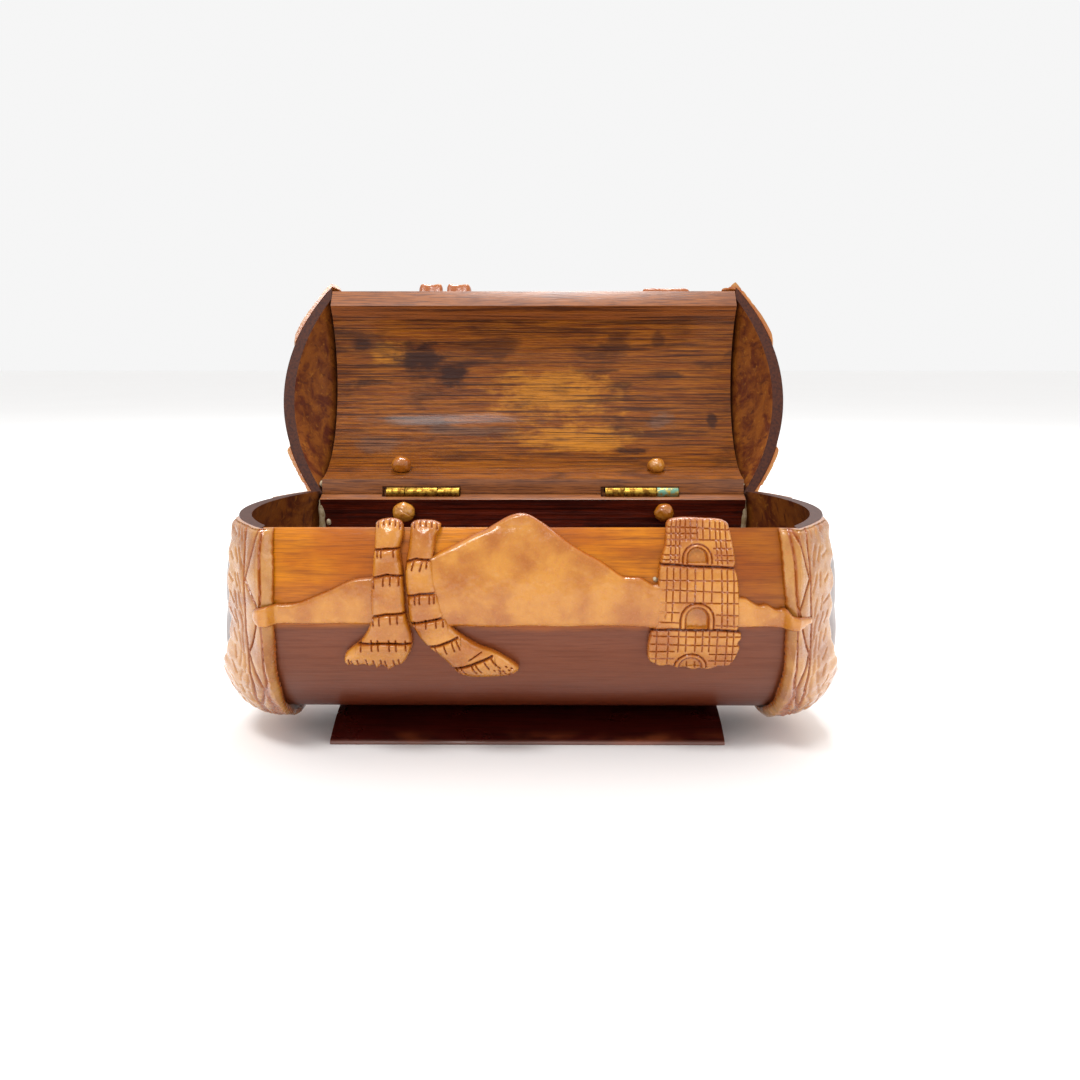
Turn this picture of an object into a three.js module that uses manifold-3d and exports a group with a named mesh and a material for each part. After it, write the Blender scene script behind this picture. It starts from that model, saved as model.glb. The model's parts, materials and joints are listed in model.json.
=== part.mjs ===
// A hinged keepsake and money casket. A length of bamboo culm is split along its
// length into a deep body and a shallow lid. Half coconut shells close the ends,
// moulded putty bands cover the joints, and a putty landscape lies on the front.
//
// Millimetres. Everything is first laid out in the culm's frame: X along the culm,
// Y to the back, Z up, with Z = 0 where the outer edges of body and lid meet.
// The last lines put the origin at the bottom centre of the whole object.

import * as THREE from 'three';
import { mergeVertices } from 'three/addons/utils/BufferGeometryUtils.js';
import Module from 'manifold-3d';

const wasm = await Module();
wasm.setup();

// ---------------------------------------------------------------- dimensions

const GAP = 0.3; // clearance between pieces that touch
const CULM_RADIUS = 44;
const CULM_WALL = 7.1;
const CULM_HALF_LENGTH = 74;
const AXIS_Z = -19; // the culm's axis, below the edge where the lid meets the body
const CUT_SLOPE = THREE.MathUtils.degToRad(18); // the sawn faces fall towards the inside
const CULM_SEGMENTS = 96;
const RING_SEGMENTS = 48;

const OPEN_ANGLE = THREE.MathUtils.degToRad(113);
const BACK_GAP = 1.0; // between the sawn faces at the hinge side, lid closed
const HINGE_INSET = 2.55; // hinge axis in from the culm's outer edge

const SHELL_RADIUS = 45.5; // coconut shell at the culm's end
const SHELL_WALL = 4.2;
const SHELL_DEPTH = 21;
const POLE_Z = -28; // the coconut's deepest point lies below the culm's axis

const BAND_THICKNESS = 1.9;
const BAND_ON_CULM = 2.8; // how far the band reaches over the bamboo
const BAND_END_RHO = 0.64; // where on the dome the band ends, 0 pole to 1 rim

const FOOT_LENGTH = 121;
const FOOT_OFFSET = -1;
const FOOT_SETBACK = 2.6; // towards the back, where the open lid's weight is
const FOOT_RADIUS = 52; // the strip comes from a larger culm
const FOOT_HALF_WIDTH = 25;
const FOOT_THICKNESS = 4.2;
const FOOT_EDGE = 0.925; // upright face along each long edge

const BARREL_RADIUS = 1.85;
const BARREL_LENGTH = 25.4;
const KNUCKLES = [6.4, 11, 7.4]; // left, middle, right; the middle one is the lid's
const PIN_RADIUS = 0.8;
const PIN_CLEARANCE = 0.08;
const LEAF_LENGTH = 15;
const LEAF_THICKNESS = 0.8;
const LEAF_TILT = THREE.MathUtils.degToRad(10); // leaves lean in, to follow the wall
const HINGE_CENTRES = [-38.4, 38.1];
const ROUND_SEGMENTS = 24;

const NAIL_RADIUS = 0.7;
const NAIL_HEAD_RADIUS = 1.5;
const NAIL_HEAD_HEIGHT = 0.6;
const BODY_NAIL_ANGLE = THREE.MathUtils.degToRad(19.2); // round the culm, up from level
const BODY_NAIL_TILT = THREE.MathUtils.degToRad(-12); // driven slanting, clear of the bevel
const LID_NAIL_ANGLE = THREE.MathUtils.degToRad(43.5);
const BODY_NAILS = [{ x: -44.8, bead: 3.9 }, { x: 45.6, bead: 3.4 }];
const LID_NAILS = [{ x: -47.2, bead: 3.5 }, { x: 44.0, bead: 3.1 }];

const FAR = 120; // reaches past everything, for cutting solids

const innerRadius = CULM_RADIUS - CULM_WALL;
const rimHalfWidth = Math.sqrt(CULM_RADIUS ** 2 - AXIS_Z ** 2);
const hingeY = rimHalfWidth - HINGE_INSET * Math.cos(CUT_SLOPE);
const hingeZ = -HINGE_INSET * Math.sin(CUT_SLOPE);
const hingeAngle = Math.atan2(hingeZ - AXIS_Z, hingeY);

// ---------------------------------------------------------------- materials

const finish = (color, roughness, metalness = 0) =>
  new THREE.MeshStandardMaterial({ color, roughness, metalness });

const bamboo = finish(0xb5691c, 0.35);
const darkBamboo = finish(0x3a120c, 0.3);
const coconut = finish(0x6b4636, 0.5);
const putty = finish(0xd9a468, 0.45);
const brass = finish(0xc0a045, 0.35, 1);
const steel = finish(0x8c8780, 0.4, 1);

// ---------------------------------------------------------------- solids

function toSolid(geometry) {
  const bare = geometry.clone();
  bare.deleteAttribute('normal');
  bare.deleteAttribute('uv');
  const merged = mergeVertices(bare, 1e-4);
  const mesh = new wasm.Mesh({
    numProp: 3,
    vertProperties: new Float32Array(merged.attributes.position.array),
    triVerts: new Uint32Array(merged.index.array),
  });
  return new wasm.Manifold(mesh);
}

function toGeometry(solid) {
  const mesh = solid.getMesh();
  const geometry = new THREE.BufferGeometry();
  geometry.setAttribute('position', new THREE.BufferAttribute(mesh.vertProperties, 3));
  geometry.setIndex(new THREE.BufferAttribute(mesh.triVerts, 1));
  return geometry;
}

const common = (first, ...others) =>
  toGeometry(others.reduce((solid, other) => solid.intersect(toSolid(other)), toSolid(first)));
const joined = (first, ...others) =>
  toGeometry(others.reduce((solid, other) => solid.add(toSolid(other)), toSolid(first)));
const cut = (first, ...others) =>
  toGeometry(others.reduce((solid, other) => solid.subtract(toSolid(other)), toSolid(first)));

// A cross-section drawn in (Y, Z) and drawn out along X.
function alongX(shape, from, to, curveSegments = CULM_SEGMENTS) {
  const geometry = new THREE.ExtrudeGeometry(shape, {
    depth: to - from,
    bevelEnabled: false,
    curveSegments,
  });
  const turn = new THREE.Matrix4().makeBasis(
    new THREE.Vector3(0, 1, 0),
    new THREE.Vector3(0, 0, 1),
    new THREE.Vector3(1, 0, 0),
  );
  return geometry.applyMatrix4(turn).translate(from, 0, 0);
}

const polygon = (points) => new THREE.Shape(points.map(([a, b]) => new THREE.Vector2(a, b)));

// An annulus round the culm's axis, as wide as asked along X.
function culmRing(inner, outer, from, to) {
  const shape = new THREE.Shape().absarc(0, AXIS_Z, outer, 0, 2 * Math.PI);
  shape.holes.push(new THREE.Path().absarc(0, AXIS_Z, inner, 0, 2 * Math.PI, true));
  return alongX(shape, from, to, CULM_SEGMENTS);
}

// Skins rings of points into one closed surface with its faces outwards.
// Rings are joined in order; the ends are closed with a point each, or to each other.
function skin(rings, poles) {
  const count = rings[0].length;
  const points = rings.flat();
  const triangles = [];
  const at = (ring, k) => (ring % rings.length) * count + (k % count);
  const lastStep = poles ? rings.length - 1 : rings.length;
  for (let ring = 0; ring < lastStep; ring += 1) {
    for (let k = 0; k < count; k += 1) {
      triangles.push(at(ring, k), at(ring, k + 1), at(ring + 1, k + 1));
      triangles.push(at(ring, k), at(ring + 1, k + 1), at(ring + 1, k));
    }
  }
  if (poles) {
    const first = points.push(poles[0]) - 1;
    const last = points.push(poles[1]) - 1;
    for (let k = 0; k < count; k += 1) {
      triangles.push(first, at(0, k + 1), at(0, k));
      triangles.push(last, at(rings.length - 1, k), at(rings.length - 1, k + 1));
    }
  }
  return facingOut(points, triangles);
}

function facingOut(points, triangles) {
  let volume = 0;
  for (let k = 0; k < triangles.length; k += 3) {
    const [a, b, c] = [0, 1, 2].map((corner) => points[triangles[k + corner]]);
    volume += a.dot(b.clone().cross(c));
  }
  const order = volume > 0 ? triangles : triangles.slice().reverse();
  const geometry = new THREE.BufferGeometry();
  geometry.setFromPoints(points);
  geometry.setIndex(order);
  return geometry;
}

// ---------------------------------------------------------------- where body ends and lid begins

// The hinge frame: u outwards along the sawn face, v away from the body, 0 on the hinge axis.
function fromHinge(u, v) {
  const y = hingeY + u * Math.cos(CUT_SLOPE) - v * Math.sin(CUT_SLOPE);
  const z = hingeZ + u * Math.sin(CUT_SLOPE) + v * Math.cos(CUT_SLOPE);
  return [y, z];
}

// The same face at the front, where it has no hinge.
function fromFront(u, v) {
  const [y, z] = fromHinge(u, v);
  return [-y, z];
}

// Behind the hinge axis both pieces are bevelled, so the lid can lean back on the body.
// side is -1 for the body and 1 for the lid.
function bevelLine(side) {
  const angle = side * OPEN_ANGLE / 2;
  const inset = GAP / 2;
  const along = (distance) => [
    distance * Math.cos(angle) - inset * Math.sin(Math.abs(angle)),
    distance * Math.sin(angle) + side * inset * Math.cos(angle),
  ];
  return along;
}

// The half of space that the bamboo of body or lid may fill.
function culmRegion(side) {
  const along = bevelLine(side);
  const back = side * BACK_GAP / 2;
  const front = side * GAP / 2;
  const corner = along(BACK_GAP / 2 / Math.sin(OPEN_ANGLE / 2));
  const inwards = (hingeY - 1) / Math.cos(CUT_SLOPE); // to just short of the middle
  return polygon([
    fromHinge(-inwards, back),
    fromHinge(corner[0], back),
    fromHinge(...along(FAR)),
    [FAR, side * 2 * FAR],
    [-FAR, side * 2 * FAR],
    fromFront(FAR, front),
    fromFront(-inwards, front),
  ]);
}

// The half of space for the coconut ends and the bands, which are ground flat and level.
function endRegion(side) {
  const along = bevelLine(side);
  const level = side * GAP / 2;
  const angle = CUT_SLOPE + side * OPEN_ANGLE / 2;
  const [nearY, nearZ] = fromHinge(...along(0));
  const meet = (level - nearZ) / Math.tan(angle) + nearY;
  return polygon([
    [-FAR, level],
    [meet, level],
    fromHinge(...along(FAR)),
    [FAR, side * 2 * FAR],
    [-FAR, side * 2 * FAR],
  ]);
}

const slab = (shape) => alongX(shape, -FAR, FAR, 1);
const BODY = -1;
const LID = 1;
const bodyEndSpace = slab(endRegion(BODY));
const lidEndSpace = slab(endRegion(LID));

// ---------------------------------------------------------------- hinges

// A box placed at an offset from the hinge axis, in a frame turned about that axis.
function turnedBox(size, offset, angle, x) {
  const geometry = new THREE.BoxGeometry(...size);
  geometry.translate(0, ...offset);
  geometry.rotateX(angle);
  return geometry.translate(x, hingeY, hingeZ);
}

const leafAngle = (side) => (side === BODY
  ? hingeAngle - Math.PI / 2 - LEAF_TILT
  : hingeAngle + Math.PI / 2 + LEAF_TILT);

// The room a hinge needs in the bamboo: a notch for the barrel and a saw kerf for the leaf.
function hingeRoom(side, x) {
  const across = BARREL_RADIUS + GAP;
  const notch = turnedBox(
    [BARREL_LENGTH + 2, across + 6, 2 * across],
    [(6 - across) / 2, 0],
    CUT_SLOPE,
    x - 0.6,
  );
  const kerf = turnedBox(
    [BARREL_LENGTH + 2 * GAP, LEAF_LENGTH + GAP, LEAF_THICKNESS + 2 * GAP],
    [(LEAF_LENGTH + GAP) / 2, 0],
    leafAngle(side),
    x,
  );
  return [notch, kerf];
}

// A round bar along X on the hinge axis.
function axleBar(radius, from, to) {
  const geometry = new THREE.CylinderGeometry(radius, radius, to - from, ROUND_SEGMENTS);
  return geometry.rotateZ(Math.PI / 2).translate((from + to) / 2, hingeY, hingeZ);
}

function knuckleSpans(x) {
  let from = x - BARREL_LENGTH / 2;
  const slack = (BARREL_LENGTH - KNUCKLES[0] - KNUCKLES[1] - KNUCKLES[2]) / 2;
  return KNUCKLES.map((length) => {
    const span = [from, from + length];
    from += length + slack;
    return span;
  });
}

function hingeLeaf(side, x, nail) {
  const spans = knuckleSpans(x);
  const own = side === BODY ? [spans[0], spans[2]] : [spans[1]];
  const others = side === BODY ? [spans[1]] : [spans[0], spans[2]];
  const plate = turnedBox(
    [BARREL_LENGTH, LEAF_LENGTH, LEAF_THICKNESS],
    [LEAF_LENGTH / 2, 0],
    leafAngle(side),
    x,
  );
  const barrels = own.map(([from, to]) => axleBar(BARREL_RADIUS, from, to));
  const rooms = others.map(([from, to]) => axleBar(BARREL_RADIUS + GAP, from - GAP, to + GAP));
  const bore = axleBar(PIN_RADIUS + PIN_CLEARANCE, x - BARREL_LENGTH, x + BARREL_LENGTH);
  return cut(joined(plate, ...barrels), ...rooms, bore, nailHole(side, nail));
}

// ---------------------------------------------------------------- nails and beads

// Turns a shape made along +Y, from the culm's axis outwards, to a nail's place.
function alongNail(geometry, side, x) {
  geometry.translate(0, -innerRadius, 0);
  geometry.rotateX(side === BODY ? BODY_NAIL_TILT : 0);
  geometry.translate(0, innerRadius, 0);
  geometry.rotateX(side === BODY ? BODY_NAIL_ANGLE : LID_NAIL_ANGLE);
  return geometry.translate(x, 0, AXIS_Z);
}

// A cylinder on a nail's line, between two distances from the culm's axis.
function nailBar(side, nail, radius, from, to) {
  const bar = new THREE.CylinderGeometry(radius, radius, to - from, 16);
  return alongNail(bar.translate(0, (from + to) / 2, 0), side, nail.x);
}

function nailHole(side, nail) {
  return nailBar(side, nail, NAIL_RADIUS + GAP, innerRadius - CULM_WALL, CULM_RADIUS + CULM_WALL);
}

// The nail is driven from inside, so its head lies under the bead and its end is cut flush.
function nailShape(side, nail) {
  const seat = innerRadius - GAP;
  const profile = [
    [0, seat - NAIL_HEAD_HEIGHT],
    [NAIL_HEAD_RADIUS, seat - NAIL_HEAD_HEIGHT],
    [NAIL_HEAD_RADIUS, seat],
    [NAIL_RADIUS, seat],
    [NAIL_RADIUS, CULM_RADIUS - GAP],
    [0, CULM_RADIUS - GAP],
  ];
  const lathe = new THREE.LatheGeometry(profile.map(([r, h]) => new THREE.Vector2(r, h)), 16);
  return alongNail(lathe, side, nail.x);
}

// A ball of putty pressed over the nail's head, flattened where it meets the wall.
function beadShape(side, nail) {
  const ball = new THREE.SphereGeometry(nail.bead, 16, 12);
  ball.scale(1, 0.9, 0.92).translate(0, innerRadius - nail.bead * 0.55, 0);
  const cavity = alongX(
    new THREE.Shape().absarc(0, AXIS_Z, innerRadius - GAP / 2, 0, 2 * Math.PI),
    -FAR,
    FAR,
    CULM_SEGMENTS,
  );
  const headTop = innerRadius - GAP - NAIL_HEAD_HEIGHT;
  const room = nailBar(side, nail, NAIL_HEAD_RADIUS + GAP, headTop - GAP, innerRadius + CULM_WALL);
  return cut(common(alongNail(ball, side, nail.x), cavity), room);
}

// ---------------------------------------------------------------- bamboo shells and foot

function culmShell(side) {
  const end = CULM_HALF_LENGTH - GAP / 2;
  const tube = common(culmRing(innerRadius, CULM_RADIUS, -end, end), slab(culmRegion(side)));
  const nails = side === BODY ? BODY_NAILS : LID_NAILS;
  const rooms = HINGE_CENTRES.flatMap((x) => hingeRoom(side, x));
  return cut(tube, ...rooms, ...nails.map((nail) => nailHole(side, nail)));
}

// The foot is a strip of culm wall, rounded side up, that stands on its two long edges.
function footShape() {
  const crown = AXIS_Z - CULM_RADIUS - GAP;
  const centre = crown - FOOT_RADIUS;
  const underRadius = FOOT_RADIUS - FOOT_THICKNESS;
  const edge = Math.asin(FOOT_HALF_WIDTH / FOOT_RADIUS);
  const floor = centre + FOOT_RADIUS * Math.cos(edge) - FOOT_EDGE;
  const underEdge = Math.acos((floor - centre) / underRadius);
  const [front, back] = [FOOT_SETBACK - FOOT_HALF_WIDTH, FOOT_SETBACK + FOOT_HALF_WIDTH];
  const up = Math.PI / 2;
  const shape = new THREE.Shape();
  shape.moveTo(back, floor);
  shape.lineTo(back, floor + FOOT_EDGE);
  shape.absarc(FOOT_SETBACK, centre, FOOT_RADIUS, up - edge, up + edge);
  shape.lineTo(front, floor);
  shape.absarc(FOOT_SETBACK, centre, underRadius, up + underEdge, up - underEdge, true);
  const half = FOOT_LENGTH / 2;
  return alongX(shape, FOOT_OFFSET - half, FOOT_OFFSET + half, 20);
}

// ---------------------------------------------------------------- coconut ends and putty bands

// Distance from the dome's pole line, in direction theta, to a circle round the culm's axis.
function reachTo(radius, theta) {
  const fall = POLE_Z - AXIS_Z;
  const along = fall * Math.sin(theta);
  return Math.sqrt(along ** 2 + radius ** 2 - fall ** 2) - along;
}

// A point on a dome over the culm's end: rho is 0 at the pole and 1 at the rim.
// The dome is a paraboloid above and blunter below, as a coconut's base is.
function domePoint(end, theta, rho, radius, depth) {
  const reach = rho * reachTo(radius, theta);
  const below = Math.max(0, -Math.sin(theta));
  const blunt = THREE.MathUtils.smoothstep(below, 0, 1);
  const rise = (1 - rho ** (2 + 1.5 * blunt)) ** (1 - 0.5 * blunt);
  const x = CULM_HALF_LENGTH + GAP / 2 + depth * rise;
  return new THREE.Vector3(end * x, reach * Math.cos(theta), POLE_Z + reach * Math.sin(theta));
}

function ring(pointAt) {
  return Array.from({ length: RING_SEGMENTS }, (_, k) => pointAt(2 * Math.PI * k / RING_SEGMENTS));
}

// Half a coconut shell: inner dome, flat rim, outer dome.
function coconutDome(end) {
  const inner = [SHELL_RADIUS - SHELL_WALL, SHELL_DEPTH - SHELL_WALL];
  const outer = [SHELL_RADIUS, SHELL_DEPTH];
  const steps = [0.3, 0.5, 0.66, 0.79, 0.88, 0.95, 1];
  const dome = (rho, size) => ring((theta) => domePoint(end, theta, rho, ...size));
  const rings = [
    ...steps.map((rho) => dome(rho, inner)),
    ...steps.slice().reverse().map((rho) => dome(rho, outer)),
  ];
  return skin(rings, [domePoint(end, 0, 0, ...inner), domePoint(end, 0, 0, ...outer)]);
}

// A ring round the culm, so far in from its end.
function ringOnCulm(end, distance, radius) {
  return ring((theta) => {
    const reach = reachTo(radius, theta);
    const x = CULM_HALF_LENGTH - distance;
    return new THREE.Vector3(end * x, reach * Math.cos(theta), POLE_Z + reach * Math.sin(theta));
  });
}

// A ring on the dome, at a height above the coconut shell.
function ringOnDome(end, rho, height) {
  return ring((theta) =>
    domePoint(end, theta, rho, SHELL_RADIUS + height, SHELL_DEPTH + height));
}

const BAND_STEPS = [1, 0.95, 0.88, 0.79, BAND_END_RHO];
const BAND_TOP = GAP + BAND_THICKNESS; // above the coconut
const BAND_TOP_ON_CULM = CULM_RADIUS + 0.75 * BAND_TOP;

// The band: over the end of the culm, across the joint and round the edge of the dome.
function puttyBand(end) {
  return skin([
    ringOnCulm(end, BAND_ON_CULM, BAND_TOP_ON_CULM),
    ringOnCulm(end, BAND_ON_CULM, CULM_RADIUS + GAP),
    ringOnCulm(end, GAP, CULM_RADIUS + GAP),
    ...BAND_STEPS.map((rho) => ringOnDome(end, rho, GAP)),
    ...BAND_STEPS.slice().reverse().map((rho) => ringOnDome(end, rho, BAND_TOP)),
  ], null);
}

// A second layer over the band, for the tips of the hills.
function overBand(end, thickness) {
  const low = BAND_TOP + GAP;
  const edge = BAND_ON_CULM + GAP;
  return skin([
    ringOnCulm(end, edge + 1, BAND_TOP_ON_CULM + GAP + thickness),
    ringOnCulm(end, edge + 1, CULM_RADIUS + GAP),
    ringOnCulm(end, edge, CULM_RADIUS + GAP),
    ringOnCulm(end, edge, BAND_TOP_ON_CULM + GAP),
    ...BAND_STEPS.map((rho) => ringOnDome(end, rho, low)),
    ...BAND_STEPS.slice().reverse().map((rho) => ringOnDome(end, rho, low + thickness)),
  ], null);
}

// ---------------------------------------------------------------- putty relief

// The front relief's cross-section: against the culm up to the rim, then upright,
// so that the lid's edge swings past it.
function frontSection(thickness) {
  const inner = CULM_RADIUS + GAP;
  const outer = inner + thickness;
  const rimAt = (radius) => Math.PI - Math.asin(-AXIS_Z / radius);
  const low = THREE.MathUtils.degToRad(250);
  const innerFace = Math.min(Math.cos(rimAt(inner)) * inner, -rimHalfWidth - GAP);
  const outerFace = Math.cos(rimAt(outer)) * outer;
  const shape = new THREE.Shape();
  shape.moveTo(innerFace, 10);
  shape.lineTo(outerFace, 10);
  shape.absarc(0, AXIS_Z, outer, rimAt(outer), low);
  shape.absarc(0, AXIS_Z, inner, low, rimAt(inner), true);
  return alongX(shape, -FAR, FAR, 32);
}

// An outline drawn in (x, height above the culm's axis) and pushed out towards the front.
function frontCutter(shape) {
  const turn = new THREE.Matrix4().makeBasis(
    new THREE.Vector3(1, 0, 0),
    new THREE.Vector3(0, 0, 1),
    new THREE.Vector3(0, -1, 0),
  );
  const geometry = new THREE.ExtrudeGeometry(shape, {
    depth: 50,
    bevelEnabled: false,
    curveSegments: 5,
  });
  return geometry.applyMatrix4(turn).translate(0, -10, AXIS_Z);
}

// An outline on the lid, drawn as (x, height), whose middle looks towards an angle
// round the culm. It stays above the relief that stands up over the body's rim.
function lidRelief(shape, facing, thickness) {
  const inner = CULM_RADIUS + GAP;
  const cutter = frontCutter(shape);
  cutter.translate(0, 0, -AXIS_Z);
  cutter.rotateX(-facing);
  cutter.translate(0, 0, AXIS_Z);
  const above = polygon([
    [-FAR, LID_RELIEF_START],
    [FAR, LID_RELIEF_START],
    [FAR, FAR],
    [-FAR, FAR],
  ]);
  return common(culmRing(inner, inner + thickness, -FAR, FAR), cutter, slab(above));
}

// Grows an outline by a margin, moving each point out along the mean of its two edges.
function grown(points, margin) {
  const turns = points.map(([x, z], k) => {
    const [nextX, nextZ] = points[(k + 1) % points.length];
    return x * nextZ - nextX * z;
  });
  const outwards = Math.sign(turns.reduce((sum, value) => sum + value, 0));
  return points.map(([x, z], k) => {
    const before = points[(k + points.length - 1) % points.length];
    const after = points[(k + 1) % points.length];
    const edges = [[x - before[0], z - before[1]], [after[0] - x, after[1] - z]];
    const normals = edges.map(([a, b]) => [b / Math.hypot(a, b), -a / Math.hypot(a, b)]);
    const middle = [normals[0][0] + normals[1][0], normals[0][1] + normals[1][1]];
    const scale = 2 / (middle[0] ** 2 + middle[1] ** 2);
    const step = outwards * margin * scale;
    return [x + middle[0] * step, z + middle[1] * step];
  });
}

// Heights are above the culm's axis; the rim is 19 above it.
const HILL_THICKNESS = 1.4;
const MOUNTAIN_THICKNESS = 1.9;
const TRUNK_THICKNESS = 2.6;
const TOWER_THICKNESS = 2.5;
const GROUND = -8.2;
const TRUNK_LEFT = [
  [-42.6, 20.8], [-35.3, 20.8], [-35, 9], [-34.4, -6], [-33.2, -12], [-33.4, -16.5],
  [-36.4, -20.6], [-40.5, -23], [-47, -22.2], [-52.6, -21], [-52.8, -18.6],
  [-48, -13.6], [-44.9, -9.6], [-44, -5.5], [-43.1, 6],
];
const TRUNK_RIGHT = [
  [-33, 20.8], [-24.8, 20.8], [-25.8, 9], [-25.6, 1], [-23.6, -7], [-20.8, -9.4],
  [-16.4, -13.2], [-8.6, -17], [-3.4, -20.6], [-3.2, -22.4], [-8, -24.6], [-15.2, -25.6],
  [-19.2, -25], [-24, -20.6], [-29.4, -14.4], [-32.4, -10.6], [-34, -2], [-34.4, 9],
];
const TOWER = [
  [38.4, 20.6], [40.6, 21.5], [52.4, 21.3], [55, 20], [56, 15], [57, 9.6], [58.2, 0],
  [58.6, -10], [59.3, -14], [57.6, -21], [50.8, -22.7], [41, -21.9], [33.8, -18.8],
  [33.6, -14], [34.4, -8.6], [35.2, -2], [35.8, 8], [37.2, 12],
];

function hillLeftShape() {
  const shape = new THREE.Shape();
  shape.moveTo(-75, GROUND - 0.4);
  shape.quadraticCurveTo(-78.6, -5.4, -75, -3);
  shape.quadraticCurveTo(-66, -2.4, -61.3, -0.4);
  shape.quadraticCurveTo(-53, 4.6, -38, 6.4);
  shape.lineTo(-38, GROUND);
  return shape;
}

function mountainShape() {
  const shape = new THREE.Shape();
  shape.moveTo(-30, GROUND);
  shape.lineTo(-30, 10.5);
  shape.quadraticCurveTo(-24, 13.6, -11.2, 19);
  shape.quadraticCurveTo(-4.6, 23.4, -0.4, 21.9);
  shape.quadraticCurveTo(8, 17, 20, 10);
  shape.quadraticCurveTo(27, 5.4, 40, 4.4);
  shape.lineTo(40, GROUND);
  return shape;
}

function hillRightShape() {
  const shape = new THREE.Shape();
  shape.moveTo(50, GROUND - 0.3);
  shape.lineTo(50, 0.4);
  shape.lineTo(58.5, 0);
  shape.quadraticCurveTo(60, -1.8, 71.4, -3);
  shape.quadraticCurveTo(79.6, -5, 78.8, GROUND + 0.2);
  return shape;
}

// A relief piece on the body's front, cut clear of the pieces that lie over it.
function bodyRelief(shape, thickness, ...over) {
  const piece = common(frontSection(thickness), frontCutter(shape));
  const rooms = over.map((points) => frontCutter(polygon(grown(points, GAP))));
  return rooms.length ? cut(piece, ...rooms) : piece;
}

// A hill whose tip runs on over the band at one end.
function hill(end, shape, over) {
  const reach = CULM_HALF_LENGTH - BAND_ON_CULM - GAP;
  const inside = new THREE.BoxGeometry(2 * reach, 2 * FAR, 2 * FAR);
  const onCulm = common(bodyRelief(shape, HILL_THICKNESS, over), inside);
  return joined(onCulm, common(overBand(end, HILL_THICKNESS), frontCutter(shape)));
}

// A palm's crown: fronds round a centre, each a pointed leaf.
function frondsShape(centreX, centreT, fronds, length) {
  const shape = new THREE.Shape();
  const tipAt = (k, radius) => {
    const angle = 2 * Math.PI * k / fronds + Math.PI / 2;
    return [centreX + radius * Math.cos(angle), centreT + radius * Math.sin(angle)];
  };
  shape.moveTo(...tipAt(-0.5, length * 0.3));
  for (let k = 0; k < fronds; k += 1) {
    shape.quadraticCurveTo(...tipAt(k - 0.3, length * 0.85), ...tipAt(k, length));
    shape.quadraticCurveTo(...tipAt(k + 0.12, length * 0.6), ...tipAt(k + 0.5, length * 0.3));
  }
  return shape;
}

// The landscape goes on over the lid. Its pieces start above the tops of those on the body.
const LID_RELIEF_START = 3.2;
const LID_TRUNK_FACING = THREE.MathUtils.degToRad(48);
const LID_TRUNK_THICKNESS = 5.6;
const LID_TRUNK_LEFT = [
  [-42.1, -20], [-33.9, -20], [-36, -3], [-39.6, 11], [-45.4, 11], [-43.6, -3],
];
const LID_TRUNK_RIGHT = [
  [-32, -20], [-23.8, -20], [-22, -3], [-20, 11], [-25.8, 11], [-29.6, -3],
];
const LID_TOWER_FACING = THREE.MathUtils.degToRad(42);
const LID_TOWER_THICKNESS = 4.4;
const CROWN_FACING = THREE.MathUtils.degToRad(83);
const CROWN_THICKNESS = 1.6;
const CROWN_FRONDS = 7;
const CROWN_LENGTH = 12;
const CROWNS = { left: -45.5, right: -20.5 };

function lidTowerShape() {
  const shape = new THREE.Shape();
  shape.moveTo(40.9, -16);
  shape.lineTo(57, -16);
  shape.lineTo(57, -3);
  shape.quadraticCurveTo(56, 6.5, 49, 9.5);
  shape.quadraticCurveTo(42, 6.5, 40.9, -3);
  return shape;
}

// ---------------------------------------------------------------- assembly

function mesh(name, geometry, material) {
  const piece = new THREE.Mesh(geometry, material);
  piece.name = name;
  return piece;
}

const SIDES = [['left', -1], ['right', 1]];

function bodyPieces() {
  const pieces = [
    mesh('body_shell', culmShell(BODY), bamboo),
    mesh('base_foot', footShape(), darkBamboo),
    mesh('hill_left', hill(-1, hillLeftShape(), TRUNK_LEFT), putty),
    mesh('mountain', bodyRelief(mountainShape(), MOUNTAIN_THICKNESS, TRUNK_RIGHT, TOWER), putty),
    mesh('hill_right', hill(1, hillRightShape(), TOWER), putty),
    mesh('trunk_left', bodyRelief(polygon(TRUNK_LEFT), TRUNK_THICKNESS), putty),
    mesh('trunk_right', bodyRelief(polygon(TRUNK_RIGHT), TRUNK_THICKNESS), putty),
    mesh('tower', bodyRelief(polygon(TOWER), TOWER_THICKNESS), putty),
  ];
  SIDES.forEach(([name, end], k) => {
    pieces.push(mesh(`body_end_${name}`, common(coconutDome(end), bodyEndSpace), coconut));
    pieces.push(mesh(`body_band_${name}`, common(puttyBand(end), bodyEndSpace), putty));
    const nail = BODY_NAILS[k];
    pieces.push(mesh(`body_leaf_${name}`, hingeLeaf(BODY, HINGE_CENTRES[k], nail), brass));
    const half = BARREL_LENGTH / 2;
    const pin = axleBar(PIN_RADIUS, HINGE_CENTRES[k] - half, HINGE_CENTRES[k] + half);
    pieces.push(mesh(`hinge_pin_${name}`, pin, brass));
    pieces.push(mesh(`body_nail_${name}`, nailShape(BODY, nail), steel));
    pieces.push(mesh(`body_bead_${name}`, beadShape(BODY, nail), putty));
  });
  return pieces;
}

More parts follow.
